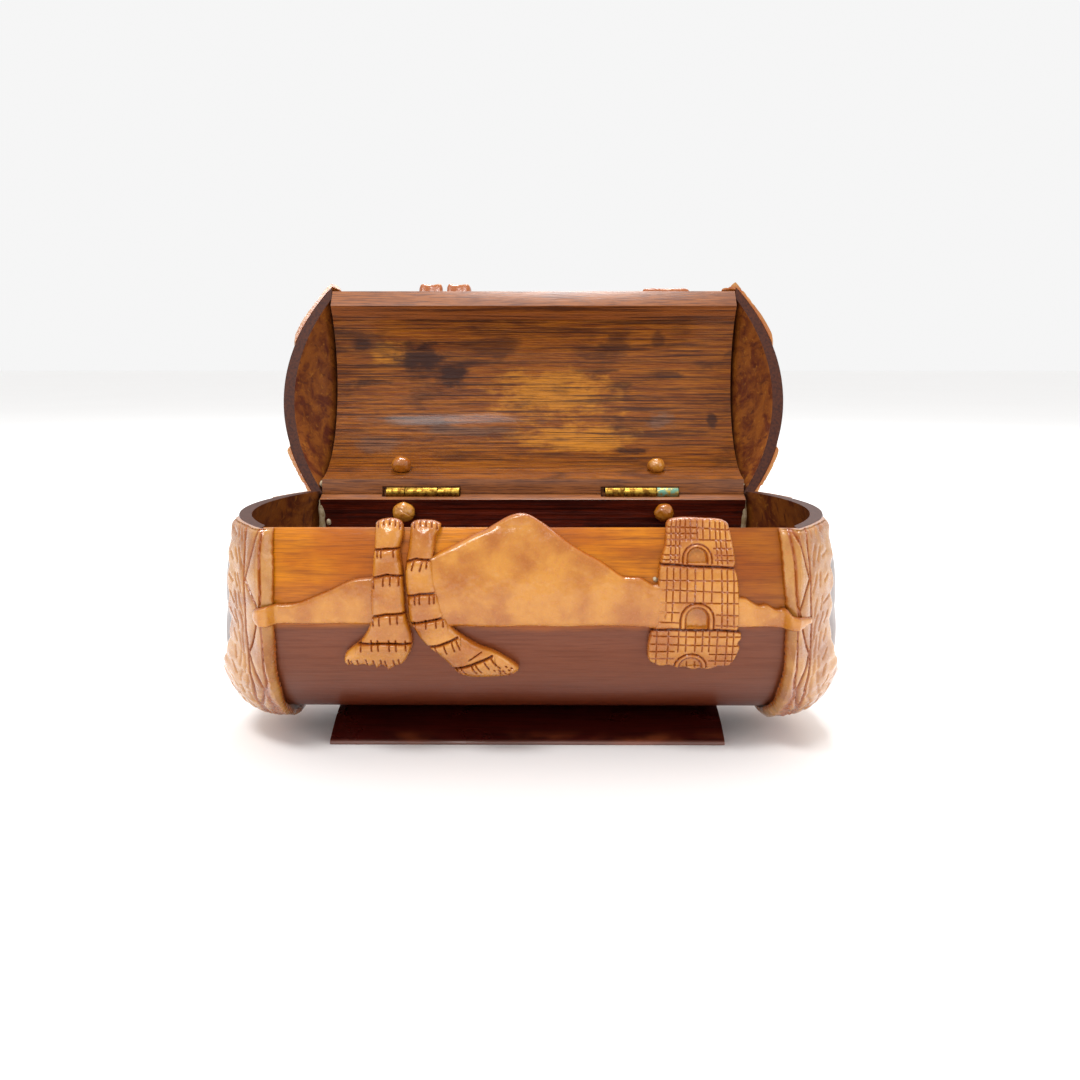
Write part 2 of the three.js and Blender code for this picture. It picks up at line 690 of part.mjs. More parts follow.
function lidPieces() {
  const trunk = (points) => lidRelief(polygon(points), LID_TRUNK_FACING, LID_TRUNK_THICKNESS);
  const tower = lidRelief(lidTowerShape(), LID_TOWER_FACING, LID_TOWER_THICKNESS);
  const pieces = [
    mesh('lid_shell', culmShell(LID), bamboo),
    mesh('lid_trunk_left', trunk(LID_TRUNK_LEFT), putty),
    mesh('lid_trunk_right', trunk(LID_TRUNK_RIGHT), putty),
    mesh('lid_tower_top', tower, putty),
  ];
  SIDES.forEach(([name, end], k) => {
    pieces.push(mesh(`lid_end_${name}`, common(coconutDome(end), lidEndSpace), coconut));
    pieces.push(mesh(`lid_band_${name}`, common(puttyBand(end), lidEndSpace), putty));
    const nail = LID_NAILS[k];
    pieces.push(mesh(`lid_leaf_${name}`, hingeLeaf(LID, HINGE_CENTRES[k], nail), brass));
    pieces.push(mesh(`lid_nail_${name}`, nailShape(LID, nail), steel));
    pieces.push(mesh(`lid_bead_${name}`, beadShape(LID, nail), putty));
    const fronds = frondsShape(CROWNS[name], 0, CROWN_FRONDS, CROWN_LENGTH);
    pieces.push(mesh(`palm_crown_${name}`, lidRelief(fronds, CROWN_FACING, CROWN_THICKNESS), putty));
  });
  return pieces;
}

const body = new THREE.Group();
body.add(...bodyPieces());

const lid = new THREE.Group();
lid.position.set(0, hingeY, hingeZ);
lid.rotation.x = -OPEN_ANGLE;
const lidContents = new THREE.Group();
lidContents.position.set(0, -hingeY, -hingeZ);
lidContents.add(...lidPieces());
lid.add(lidContents);

const casket = new THREE.Group();
casket.add(body, lid);
casket.updateMatrixWorld(true);
const box = new THREE.Box3().setFromObject(casket, true);
const middle = box.getCenter(new THREE.Vector3());
casket.position.set(-middle.x, -middle.y, -box.min.z);

export default casket;
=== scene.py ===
"""Visual model of a hinged keepsake casket: bamboo culm, coconut ends, putty relief.

Shapes are laid out in the culm's frame, in millimetres: X along the culm, Y to the
back, Z up, with Z = 0 where body and lid meet, and with the lid closed. place() turns
that into the row frame, in metres, with the lid open.
"""
import json
import math

import bmesh
import bpy
import numpy as np
from mathutils import Matrix, Vector, noise
from mathutils.geometry import delaunay_2d_cdt


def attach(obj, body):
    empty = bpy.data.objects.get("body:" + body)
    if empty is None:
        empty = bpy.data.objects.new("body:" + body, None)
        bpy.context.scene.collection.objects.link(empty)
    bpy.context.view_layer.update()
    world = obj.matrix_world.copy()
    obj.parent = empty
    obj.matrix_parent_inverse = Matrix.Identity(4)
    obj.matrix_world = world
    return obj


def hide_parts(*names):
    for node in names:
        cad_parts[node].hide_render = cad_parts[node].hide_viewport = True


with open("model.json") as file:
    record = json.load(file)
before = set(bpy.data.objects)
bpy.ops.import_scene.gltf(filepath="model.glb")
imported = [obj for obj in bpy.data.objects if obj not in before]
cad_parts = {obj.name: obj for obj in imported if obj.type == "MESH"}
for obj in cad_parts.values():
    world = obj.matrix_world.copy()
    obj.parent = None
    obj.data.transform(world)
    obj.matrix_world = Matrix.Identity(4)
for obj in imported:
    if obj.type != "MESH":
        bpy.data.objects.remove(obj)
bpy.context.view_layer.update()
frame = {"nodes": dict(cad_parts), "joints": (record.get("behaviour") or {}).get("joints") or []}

# ------------------------------------------------------------------ dimensions

MM = 0.001
GAP = 0.3
CULM_RADIUS = 44.0
INNER_RADIUS = 36.9
AXIS_Z = -19.0
RIM_HALF_WIDTH = math.sqrt(CULM_RADIUS**2 - AXIS_Z**2)
CUT_SLOPE = math.radians(18)
HINGE_INSET = 2.55
HINGE_Y = RIM_HALF_WIDTH - HINGE_INSET * math.cos(CUT_SLOPE)
HINGE_Z = -HINGE_INSET * math.sin(CUT_SLOPE)
OPEN_ANGLE = math.radians(113)

RIM_X = 74.15  # where the coconut ends begin
SHELL_RADIUS = 45.5
SHELL_WALL = 4.2
SHELL_DEPTH = 21.0
POLE_Z = -28.0
BAND_TOP = 2.2
BAND_INNER_X = 71.2
BAND_END_RHO = 0.64
RELIEF_BASE = CULM_RADIUS + GAP

hinge_x, hinge_y, hinge_z = frame["joints"][0]["pos_m"]
OFFSET = np.array([0.0, hinge_y / MM - HINGE_Y, hinge_z / MM - HINGE_Z])

rng = np.random.default_rng(7)


def turned(points, angle):
    """Turns points about the hinge axis."""
    y = points[:, 1] - HINGE_Y
    z = points[:, 2] - HINGE_Z
    turned_y = y * math.cos(angle) - z * math.sin(angle) + HINGE_Y
    turned_z = y * math.sin(angle) + z * math.cos(angle) + HINGE_Z
    return np.column_stack([points[:, 0], turned_y, turned_z])


def place(points, body):
    """Culm frame in mm, lid closed, to the row frame in metres, lid open."""
    points = np.asarray(points, float).reshape(-1, 3)
    if body == "lid":
        points = turned(points, -OPEN_ANGLE)
    return (points + OFFSET) * MM


def unplace(points, body):
    """The inverse of place()."""
    points = np.asarray(points, float).reshape(-1, 3) / MM - OFFSET
    return turned(points, OPEN_ANGLE) if body == "lid" else points


# ------------------------------------------------------------------ materials


def linear(code):
    """A colour written as sRGB hex digits, as linear RGBA."""
    values = [int(code[k : k + 2], 16) / 255 for k in (0, 2, 4)]
    flat = [v / 12.92 if v <= 0.04045 else ((v + 0.055) / 1.055) ** 2.4 for v in values]
    return (*flat, 1.0)


STAIN_AND_LIGHT_EDGE = (2.65, 1.95)  # the ragged edge of a stain and of a spot of painted light, in its half sizes plus the raggedness


class Material:
    """A small builder for node materials that read the culm's frame from an attribute."""

    def __init__(self, name):
        self.material = bpy.data.materials.new(name)
        self.material.use_nodes = True
        self.tree = self.material.node_tree
        self.tree.nodes.clear()
        self.shader = self.node("ShaderNodeBsdfPrincipled")
        output = self.node("ShaderNodeOutputMaterial")
        self.link(self.shader.outputs["BSDF"], output.inputs["Surface"])
        self.place = self.attribute("culm", "Vector")

    def node(self, kind, **settings):
        made = self.tree.nodes.new(kind)
        for key, value in settings.items():
            setattr(made, key, value)
        return made

    def link(self, source, target):
        if isinstance(source, bpy.types.NodeSocket):
            self.tree.links.new(source, target)
        else:
            target.default_value = source

    def attribute(self, name, output="Fac"):
        return self.node("ShaderNodeAttribute", attribute_name=name).outputs[output]

    def math(self, operation, a, b):
        made = self.node("ShaderNodeMath", operation=operation)
        self.link(a, made.inputs[0])
        self.link(b, made.inputs[1])
        return made.outputs[0]

    def axis(self, name):
        split = self.node("ShaderNodeSeparateXYZ")
        self.link(self.place, split.inputs[0])
        return split.outputs[name]

    def stretched(self, scale, offset=(0, 0, 0)):
        """The culm frame scaled by axis, so a texture can be longer one way."""
        made = self.node("ShaderNodeMapping")
        self.link(self.place, made.inputs["Vector"])
        made.inputs["Scale"].default_value = scale
        made.inputs["Location"].default_value = offset
        return made.outputs[0]

    def noise(self, scale, detail=3.0, rough=0.55, stretch=(1, 1, 1), offset=(0, 0, 0), warp=0.0):
        made = self.node("ShaderNodeTexNoise")
        self.link(self.stretched(stretch, offset), made.inputs["Vector"])
        made.inputs["Scale"].default_value = scale
        made.inputs["Detail"].default_value = detail
        made.inputs["Roughness"].default_value = rough
        made.inputs["Distortion"].default_value = warp
        return made.outputs["Fac"]

    def span(self, value, low, high):
        """0 below low, 1 above high, smooth between."""
        made = self.node("ShaderNodeMapRange", interpolation_type="SMOOTHSTEP")
        self.link(value, made.inputs["Value"])
        made.inputs["From Min"].default_value = low
        made.inputs["From Max"].default_value = high
        return made.outputs[0]

    def times(self, a, b):
        return self.math("MULTIPLY", a, b)

    def share(self, value, low, high, amount):
        """span() times an amount."""
        return self.times(self.span(value, low, high), amount)

    def plus(self, base, value, amount):
        """A base plus an amount of a value."""
        return self.math("ADD", base, self.times(value, amount))

    def mix(self, fac, a, b):
        made = self.node("ShaderNodeMix", data_type="RGBA")
        self.link(fac, made.inputs[0])
        for value, target in ((a, made.inputs[6]), (b, made.inputs[7])):
            self.link(linear(value) if isinstance(value, str) else value, target)
        return made.outputs[2]

    def spots(self, places, ragged):
        """Stains and spots of painted light, each a centre, a half width, a half height and its
        strength inside.
        """
        total = 0.0
        for centre, wide, high, strength in places:
            made = self.node("ShaderNodeMapping")
            self.link(self.place, made.inputs["Vector"])
            scale = (1 / wide, 1 / high, 1 / high)
            made.inputs["Scale"].default_value = scale
            made.inputs["Location"].default_value = [-c * f for c, f in zip(centre, scale)]
            length = self.node("ShaderNodeVectorMath", operation="LENGTH")
            self.link(made.outputs[0], length.inputs[0])
            far = self.math("ADD", length.outputs["Value"], ragged)
            share = self.share(far, *STAIN_AND_LIGHT_EDGE, strength)
            total = self.math("MAXIMUM", share, total)
        return total

    def bump(self, height, distance, strength, below=None):
        """A bump of a height in mm, laid over another one if given."""
        made = self.node("ShaderNodeBump")
        made.inputs["Strength"].default_value = strength
        made.inputs["Distance"].default_value = distance * MM
        self.link(height, made.inputs["Height"])
        if below is not None:
            self.link(below, made.inputs["Normal"])
        return made.outputs[0]

    def finish(self, colour, roughness, normal=None, **values):
        """Joins the shader up; values are for its other sockets, with _ for a space."""
        self.link(colour, self.shader.inputs["Base Color"])
        self.link(roughness, self.shader.inputs["Roughness"])
        if normal is not None:
            self.link(normal, self.shader.inputs["Normal"])
        for name, value in values.items():
            self.shader.inputs[name.replace("_", " ")].default_value = value
        return self.material


ALONG = (0.045, 1, 1)  # stretches a texture along the culm


def bamboo_skin(name, bright, deep, under):
    """The culm's varnished outside: amber above the landscape; purple-brown below, partly the wood's
    tone and partly painted shade and painted floor reflection.
    """
    m = Material(name)
    streaks = m.noise(0.9, 4, 0.6, ALONG, warp=0.3)
    fine = m.noise(6.5, 3, 0.65, (0.018, 1, 1))
    cloud = m.noise(0.05, 4, 0.6, (0.5, 1, 1))
    upper = m.mix(m.span(cloud, 0.36, 0.62), bright, deep)
    dark_right = m.times(m.span(m.axis("X"), 50, 60), m.span(m.axis("Y"), 0, -12))
    upper = m.mix(m.times(dark_right, 0.6), upper, "6e2c02")
    # Below the landscape on the front: purple-brown, partly the wood's tone and partly painted shade
    # and painted reflection of the floor.
    ground = m.plus(m.axis("Z"), cloud, 5.0)
    below = m.span(ground, -23.5, -26.5)
    front = m.span(m.axis("Y"), 22, -6)
    colour = m.mix(m.times(below, front), upper, under)
    # Darker still at the very bottom: painted shade.
    painted_bottom_shade = m.span(m.axis("Z"), -43, -60)
    colour = m.mix(m.times(painted_bottom_shade, 0.8), colour, "4c1405")
    colour = m.mix(m.share(streaks, 0.45, 0.72, 0.5), colour, "5a2404")
    grain = m.share(fine, 0.48, 0.66, 0.42)
    colour = m.mix(grain, colour, "4a1c03")
    rough = m.plus(0.22, streaks, 0.2)
    normal = m.bump(fine, 0.1, 0.45, m.bump(streaks, 0.2, 0.3))
    return m.finish(colour, rough, normal, Specular_IOR_Level=0.28, Coat_Weight=0.08,
                    Coat_Roughness=0.1)


LID_STAINS = [
    ((-64.2, -22.7, 10.1), 4.2, 3.2, 0.85),
    ((-42, -19, 12.2), 11, 6.0, 0.95),
    ((-31, -13, 15.5), 7.5, 5.0, 0.95),
    ((-61, -10.5, 16.4), 11, 1.1, 0.75),
    ((-14, -30.4, 2.4), 26, 0.9, 0.85),
    ((31, -22.5, 10), 6.0, 5.0, 0.65),
    ((46, -24.6, 8.5), 3.0, 4.0, 0.6),
    ((24, -14.8, 14.8), 10, 1.2, 0.7),
    ((50, -13.1, 15.5), 7.0, 1.6, 0.65),
    ((33, -9.5, 16.7), 5.0, 1.2, 0.6),
    ((66.5, 4.3, 17.6), 2.0, 4.6, 0.8),
    ((36, 17.4, 13.6), 7.0, 2.0, 0.9),
    ((8, 19, 12.8), 10, 1.0, 0.5),
]
# Painted sheen: grey-white streaks of reflected light on the lid's inside.
LID_PAINTED_SHEEN = [
    ((-44, 4, 17.9), 20, 2.0, 0.55),
    ((-28, 8.5, 17), 20, 2.2, 0.6),
    ((-58, 15, 15), 10, 5.0, 0.45),
    ((48, 4.5, 17.6), 6.0, 4.0, 0.6),
]
# Painted light: lighter amber patches in the middle of the lid's inside.
LID_PAINTED_LIGHT = [((8, -6, 17.6), 26, 10, 0.85), ((-53, -20, 12), 9, 5, 0.7), ((15, 12, 16), 26, 7, 0.8)]
LIP_TOP = 3.2  # a plain strip runs along the inside of the lid's front edge, up to here


def bamboo_inside(name, light, mid, dark, depth, lid=False):
    """The culm's fibrous inside, with stained patches; on the lid also painted light and painted
    sheen.
    """
    m = Material(name)
    fibres = m.noise(0.95, 5, 0.72, (0.016, 1, 1), warp=0.1)
    fine = m.noise(3.4, 4, 0.75, (0.012, 1, 1), (3, 0, 0))
    broken = m.noise(0.9, 5, 0.7, (0.06, 1, 1), (5, 2, 1))
    blots = m.noise(0.22, 4, 0.65, (0.6, 1, 1), (9, 2, 6))
    patches = m.noise(0.075, 4, 0.6, (0.5, 1.2, 1.2), (11, 4, 7), warp=0.4)
    ragged = m.times(m.plus(broken, blots, 2.2), 0.95)
    colour = m.mix(m.span(broken, 0.36, 0.64), light, mid)
    if lid:
        # Painted light in the middle of the lid's inside.
        colour = m.mix(m.spots(LID_PAINTED_LIGHT, ragged), colour, "c87e1a")
    colour = m.mix(m.share(patches, 0.52, 0.66, 0.6), colour, dark)
    if lid:
        colour = m.mix(m.spots(LID_STAINS, ragged), colour, "2c0c03")
        # Painted sheen on the lid's inside.
        colour = m.mix(m.spots(LID_PAINTED_SHEEN, ragged), colour, "6e564a")
        inner = m.span(m.axis("Y"), -20, -26)
        strip = m.times(m.span(m.axis("Z"), LIP_TOP, LIP_TOP - 0.25), inner)
        colour = m.mix(m.times(strip, 0.85), colour, "8e4c1e")
    colour = m.mix(m.share(fibres, 0.5, 0.6, 0.8), colour, dark)
    colour = m.mix(m.share(fine, 0.5, 0.6, 0.7), colour, dark)
    colour = m.mix(m.share(fibres, 0.44, 0.34, 0.35), colour, light)
    rough = m.plus(0.26, fine, 0.3)
    normal = m.bump(fine, 0.2, 0.7, m.bump(fibres, depth, 0.9))
    if lid:
        normal = m.bump(strip, 0.7, 1.0, normal)
    return m.finish(colour, rough, normal, Specular_IOR_Level=0.25, Coat_Weight=0.1,
                    Coat_Roughness=0.12)


def bamboo_cut(name, light, dark):
    """Sawn and rubbed edges of the culm wall."""
    m = Material(name)
    fibres = m.noise(2.2, 4, 0.6, (0.05, 1, 1))
    cloud = m.noise(0.1, 3, 0.5, (0.5, 1, 1))
    colour = m.mix(m.span(fibres, 0.4, 0.68), light, dark)
    colour = m.mix(m.share(cloud, 0.45, 0.7, 0.5), colour, dark)
    normal = m.bump(fibres, 0.14, 0.6)
    return m.finish(colour, 0.38, normal, Coat_Weight=0.2, Coat_Roughness=0.2)


def foot_bamboo():
    """Bamboo stained almost black, lighter brown in patches towards the front, partly wear and
    partly painted light, with a painted highlight along its lower front edge.
    """
    m = Material("foot_bamboo")
    streaks = m.noise(1.3, 4, 0.6, ALONG)
    cloud = m.noise(0.07, 3, 0.55, (0.6, 1, 1), (2, 8, 3))
    colour = m.mix(m.span(streaks, 0.4, 0.7), "3c0804", "240302")
    # Lighter brown patches towards the front: partly wear and partly painted light.
    wear_and_painted_light = m.times(m.span(cloud, 0.5, 0.66), m.span(m.axis("Y"), -17, -21.5))
    colour = m.mix(m.times(wear_and_painted_light, 0.8), colour, "7a3a1c")
    # Painted highlight along the lower front arris.
    painted_arris_highlight = m.times(m.span(m.axis("Z"), -69.1, -69.6), m.span(m.axis("Y"), -20, -22))
    colour = m.mix(m.times(painted_arris_highlight, 0.35), colour, "a07060")
    rough = m.plus(0.2, cloud, 0.2)
    normal = m.bump(streaks, 0.15, 0.5)
    return m.finish(colour, rough, normal, Coat_Weight=0.5, Coat_Roughness=0.12)


def putty_material(name, base, deep):
    """Moulded putty under an orange varnish, darker in its cuts and along its edges."""
    m = Material(name)
    cloud = m.noise(0.09, 3, 0.5, warp=0.2)
    mottle = m.noise(0.7, 4, 0.6, offset=(4, 9, 2))
    grit = m.noise(3.2, 3, 0.6)
    colour = m.mix(m.span(cloud, 0.34, 0.7), base, deep)
    colour = m.mix(m.share(mottle, 0.5, 0.74, 0.4), colour, "a85c1c")
    colour = m.mix(m.share(mottle, 0.45, 0.25, 0.25), colour, "cc9650")
    speck = m.share(grit, 0.64, 0.72, 0.35)
    colour = m.mix(speck, colour, "8a4416")
    stain_and_shade = m.attribute("stain_and_shade")
    colour = m.mix(m.share(stain_and_shade, 0.05, 0.6, 0.9), colour, "94480e")
    colour = m.mix(m.span(stain_and_shade, 0.5, 1.0), colour, "4e1c06")
    rough = m.plus(0.12, mottle, 0.26)
    normal = m.bump(grit, 0.1, 0.4, m.bump(mottle, 0.35, 0.4))
    return m.finish(colour, rough, normal, Coat_Weight=0.35, Coat_Roughness=0.12,
                    Subsurface_Weight=0.05, Subsurface_Radius=(0.002, 0.001, 0.0005))


def coconut_outside():
    """Polished shell, dark with fine pores."""
    m = Material("coconut_outside")
    cloud = m.noise(0.1, 4, 0.6, warp=0.3)
    pores = m.noise(2.4, 3, 0.6)
    colour = m.mix(m.span(cloud, 0.35, 0.68), "5a362c", "3c2019")
    colour = m.mix(m.share(pores, 0.56, 0.7, 0.5), colour, "2d140d")
    colour = m.mix(m.share(pores, 0.42, 0.3, 0.3), colour, "76523f")
    rough = m.plus(0.28, cloud, 0.2)
    return m.finish(colour, rough, m.bump(pores, 0.12, 0.5), Coat_Weight=0.25, Coat_Roughness=0.18)


def coconut_inside():
    """Bare shell, mottled, with a painted shadow where it meets the bamboo."""
    m = Material("coconut_inside")
    cloud = m.noise(0.13, 5, 0.65, warp=0.8)
    mottle = m.noise(0.5, 4, 0.65, offset=(7, 1, 3), warp=0.5)
    streaks = m.noise(0.5, 4, 0.6, (1, 1, 0.25), (1, 5, 2))
    colour = m.mix(m.span(cloud, 0.38, 0.66), "8a4c16", "561f0a")
    colour = m.mix(m.share(mottle, 0.42, 0.3, 0.5), colour, "b87a30")
    colour = m.mix(m.share(streaks, 0.56, 0.68, 0.75), colour, "48180a")
    # The painted shadow where the shell meets the bamboo.
    colour = m.mix(m.times(m.attribute("stain_and_shade"), 0.9), colour, "240a04")
    rough = m.plus(0.3, mottle, 0.3)
    return m.finish(colour, rough, m.bump(mottle, 0.3, 0.5), Coat_Weight=0.2, Coat_Roughness=0.2)


def coconut_rim():
    """The sawn thickness of the shell."""
    m = Material("coconut_rim")
    grain = m.noise(1.1, 4, 0.6)
    colour = m.mix(m.span(grain, 0.38, 0.68), "46200f", "30120a")
    return m.finish(colour, 0.55, m.bump(grain, 0.08, 0.5), Specular_IOR_Level=0.2)


def brass_material():
    """Worn brass: dull brown in patches, green at the right hinge's last knuckle."""
    m = Material("brass")
    cloud = m.noise(0.6, 4, 0.6)
    scratch = m.noise(4.0, 3, 0.6, (0.2, 1, 1))
    colour = m.mix(m.span(cloud, 0.4, 0.62), "b5913c", "6e4a1a")
    green = m.times(m.span(m.axis("X"), 43.2, 43.8), m.span(cloud, 0.36, 0.56))
    colour = m.mix(green, colour, "5f8f78")
    rough = m.plus(0.26, cloud, 0.3)
    m.link(m.math("SUBTRACT", 1.0, m.times(green, 0.8)), m.shader.inputs["Metallic"])
    return m.finish(colour, rough, m.bump(scratch, 0.05, 0.5))


def steel_material():
    m = Material("steel")
    cloud = m.noise(1.4, 4, 0.6)
    colour = m.mix(m.span(cloud, 0.4, 0.65), "8f8a82", "5e4a3c")
    rough = m.plus(0.3, cloud, 0.3)
    return m.finish(colour, rough, m.bump(cloud, 0.05, 0.4), Metallic=1.0)


def glue_material():
    m = Material("glue")
    cloud = m.noise(0.5, 4, 0.6)
    colour = m.mix(m.span(cloud, 0.38, 0.65), "b9a98a", "8f7a58")
    return m.finish(colour, 0.3, m.bump(cloud, 0.3, 0.5), Coat_Weight=0.3, Coat_Roughness=0.15)


def floor_material():
    m = Material("floor")
    tone = m.noise(0.004, 2, 0.5)
    colour = m.mix(tone, "faf9f8", "fdfcfb")
    return m.finish(colour, 0.75)


# The last colour of each skin is its purple-brown below the landscape: partly the wood's tone,
# partly painted shade and painted floor reflection.
body_skin = bamboo_skin("body_skin", "c67600", "a45400", "703a22")
lid_skin = bamboo_skin("lid_skin", "b46a02", "924e02", "925210")
# The body's inside is painted darker than the lid's, partly its own tone and partly painted shade.
body_inside_painted_shade = bamboo_inside("body_inside_painted_shade", "6a2008", "4c1206", "280603", 0.35)
lid_inside = bamboo_inside("lid_inside", "a05a0c", "783a08", "301003", 0.5, lid=True)
cut_bamboo = bamboo_cut("cut_bamboo", "8c5020", "582a0e")
foot_finish = foot_bamboo()
putty = putty_material("putty", "bc7c28", "9c560a")
band_putty = putty_material("band_putty", "b07a38", "8e5218")
shell_outside = coconut_outside()
shell_inside = coconut_inside()
shell_rim = coconut_rim()
brass = brass_material()
steel = steel_material()
glue = glue_material()

# ------------------------------------------------------------------ meshes


def add_piece(name, mesh, body, materials, replaced, stain_and_shade=None):
    """Makes a riding object of a placed mesh, and stores its culm coordinates."""
    coords = np.empty(len(mesh.vertices) * 3)
    mesh.vertices.foreach_get("co", coords)
    culm = mesh.attributes.new("culm", "FLOAT_VECTOR", "POINT")
    culm.data.foreach_set("vector", unplace(coords, body).ravel())
    if stain_and_shade is not None:
        layer = mesh.attributes.new("stain_and_shade", "FLOAT", "POINT")
        layer.data.foreach_set("value", np.asarray(stain_and_shade, np.float32))
    for material in materials:
        mesh.materials.append(material)
    piece = bpy.data.objects.new(name, mesh)
    bpy.context.scene.collection.objects.link(piece)
    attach(piece, body)
    if replaced:
        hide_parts(*replaced)


def new_mesh(name, points, faces, body):
    mesh = bpy.data.meshes.new(name)
    mesh.from_pydata(place(points, body).tolist(), [], [tuple(map(int, f)) for f in faces])
    mesh.validate()
    return mesh


def face_centres(mesh, body):
    centres = np.empty(len(mesh.polygons) * 3)
    mesh.polygons.foreach_get("center", centres)
    return unplace(centres, body)


def shade(mesh, angle=32):
    mesh.shade_smooth()
    mesh.set_sharp_from_angle(angle=math.radians(angle))


EDGE_ANGLE = math.radians(30)  # sharper edges of CAD shapes are rounded off


def refined(node, body, materials, bevel, choose=None):
    """A CAD node's shape with its long facets joined and its edges rounded off."""
    bm = bmesh.new()
    bm.from_mesh(frame["nodes"][node].data)
    bmesh.ops.remove_doubles(bm, verts=bm.verts[:], dist=0.002 * MM)
    bmesh.ops.dissolve_limit(
        bm, angle_limit=math.radians(0.5), verts=bm.verts[:], edges=bm.edges[:]
    )
    sharp = [e for e in bm.edges if e.is_manifold and e.calc_face_angle() > EDGE_ANGLE]
    bmesh.ops.bevel(
        bm, geom=sharp, offset=bevel * MM, segments=2, profile=0.6,
        affect="EDGES", clamp_overlap=True, harden_normals=False,
    )
    mesh = bpy.data.meshes.new(node + "_visual")
    bm.to_mesh(mesh)
    bm.free()
    shade(mesh)
    if choose:
        mesh.polygons.foreach_set("material_index", choose(face_centres(mesh, body)))
    add_piece(node + "_visual", mesh, body, materials, [node])


def wall_side(centres):
    """0 for the culm's outside, 1 for its inside, 2 for sawn faces."""
    radius = np.hypot(centres[:, 1], centres[:, 2] - AXIS_Z)
    return np.where(radius > CULM_RADIUS - 0.25, 0, np.where(radius < INNER_RADIUS + 0.2, 1, 2))


# ------------------------------------------------------------------ coconut ends and bands


def smoothstep(value, low, high):
    """0 below low, 1 above high, smooth between."""
    t = np.clip((value - low) / (high - low), 0, 1)
    return t * t * (3 - 2 * t)


def reach_to(radius, theta):
    """The distance from the pole line to a circle round the culm's axis, at an angle."""
    fall = POLE_Z - AXIS_Z
    along = fall * np.sin(theta)
    return np.sqrt(along**2 + radius**2 - fall**2) - along


def dome_points(end, theta, rho, radius, depth):
    """Points on a dome over the culm's end, round its pole line."""
    reach = rho * reach_to(radius, theta)
    blunt = smoothstep(np.maximum(0, -np.sin(theta)), 0, 1)
    rise = (1 - np.minimum(rho, 1) ** (2 + 1.5 * blunt)) ** (1 - 0.5 * blunt)
    x = RIM_X + depth * rise
    return np.stack([end * x, reach * np.cos(theta), POLE_Z + reach * np.sin(theta)], axis=-1)


def grid_faces(rows, columns, close_rows=False):
    """Quads of a grid whose columns close round; rows close too if asked."""
    faces = []
    last = rows if close_rows else rows - 1
    for row in range(last):
        a = row * columns
        b = ((row + 1) % rows) * columns
        for k in range(columns):
            n = (k + 1) % columns
            faces.append((a + k, a + n, b + n, b + k))
    return faces


def bevel_plane(side):
    """The plane behind the hinge that clears the open lid: point and outward normal."""
    angle = CUT_SLOPE + side * OPEN_ANGLE / 2
    normal = np.array([0.0, side * math.sin(angle), -side * math.cos(angle)])
    point = np.array([0.0, HINGE_Y, HINGE_Z]) - normal * GAP / 2
    return point, normal


def half_of(name, points, faces, body, stain_and_shade):
    """Cuts a closed mesh to the body's or the lid's share and fills the cuts."""
    side = 1 if body == "lid" else -1
    mesh = bpy.data.meshes.new(name)
    mesh.from_pydata(np.asarray(points).tolist(), [], faces)
    layer = mesh.attributes.new("stain_and_shade", "FLOAT", "POINT")
    layer.data.foreach_set("value", np.asarray(stain_and_shade, np.float32))
    bm = bmesh.new()
    bm.from_mesh(mesh)
    planes = [
        (np.array([0.0, 0.0, side * GAP / 2]), np.array([0.0, 0.0, -side])),
        bevel_plane(side),
    ]
    for point, normal in planes:
        everything = bm.verts[:] + bm.edges[:] + bm.faces[:]
        cut = bmesh.ops.bisect_plane(
            bm, geom=everything, plane_co=point, plane_no=normal, clear_outer=True
        )
        edges = [g for g in cut["geom_cut"] if isinstance(g, bmesh.types.BMEdge)]
        if edges:
            bmesh.ops.triangle_fill(bm, edges=edges, use_beauty=True, normal=normal)
    bmesh.ops.recalc_face_normals(bm, faces=bm.faces[:])
    bm.to_mesh(mesh)
    bm.free()
    coords = np.empty(len(mesh.vertices) * 3)
    mesh.vertices.foreach_get("co", coords)
    mesh.vertices.foreach_set("co", place(coords, body).ravel())
    shade(mesh, 38)
    return mesh


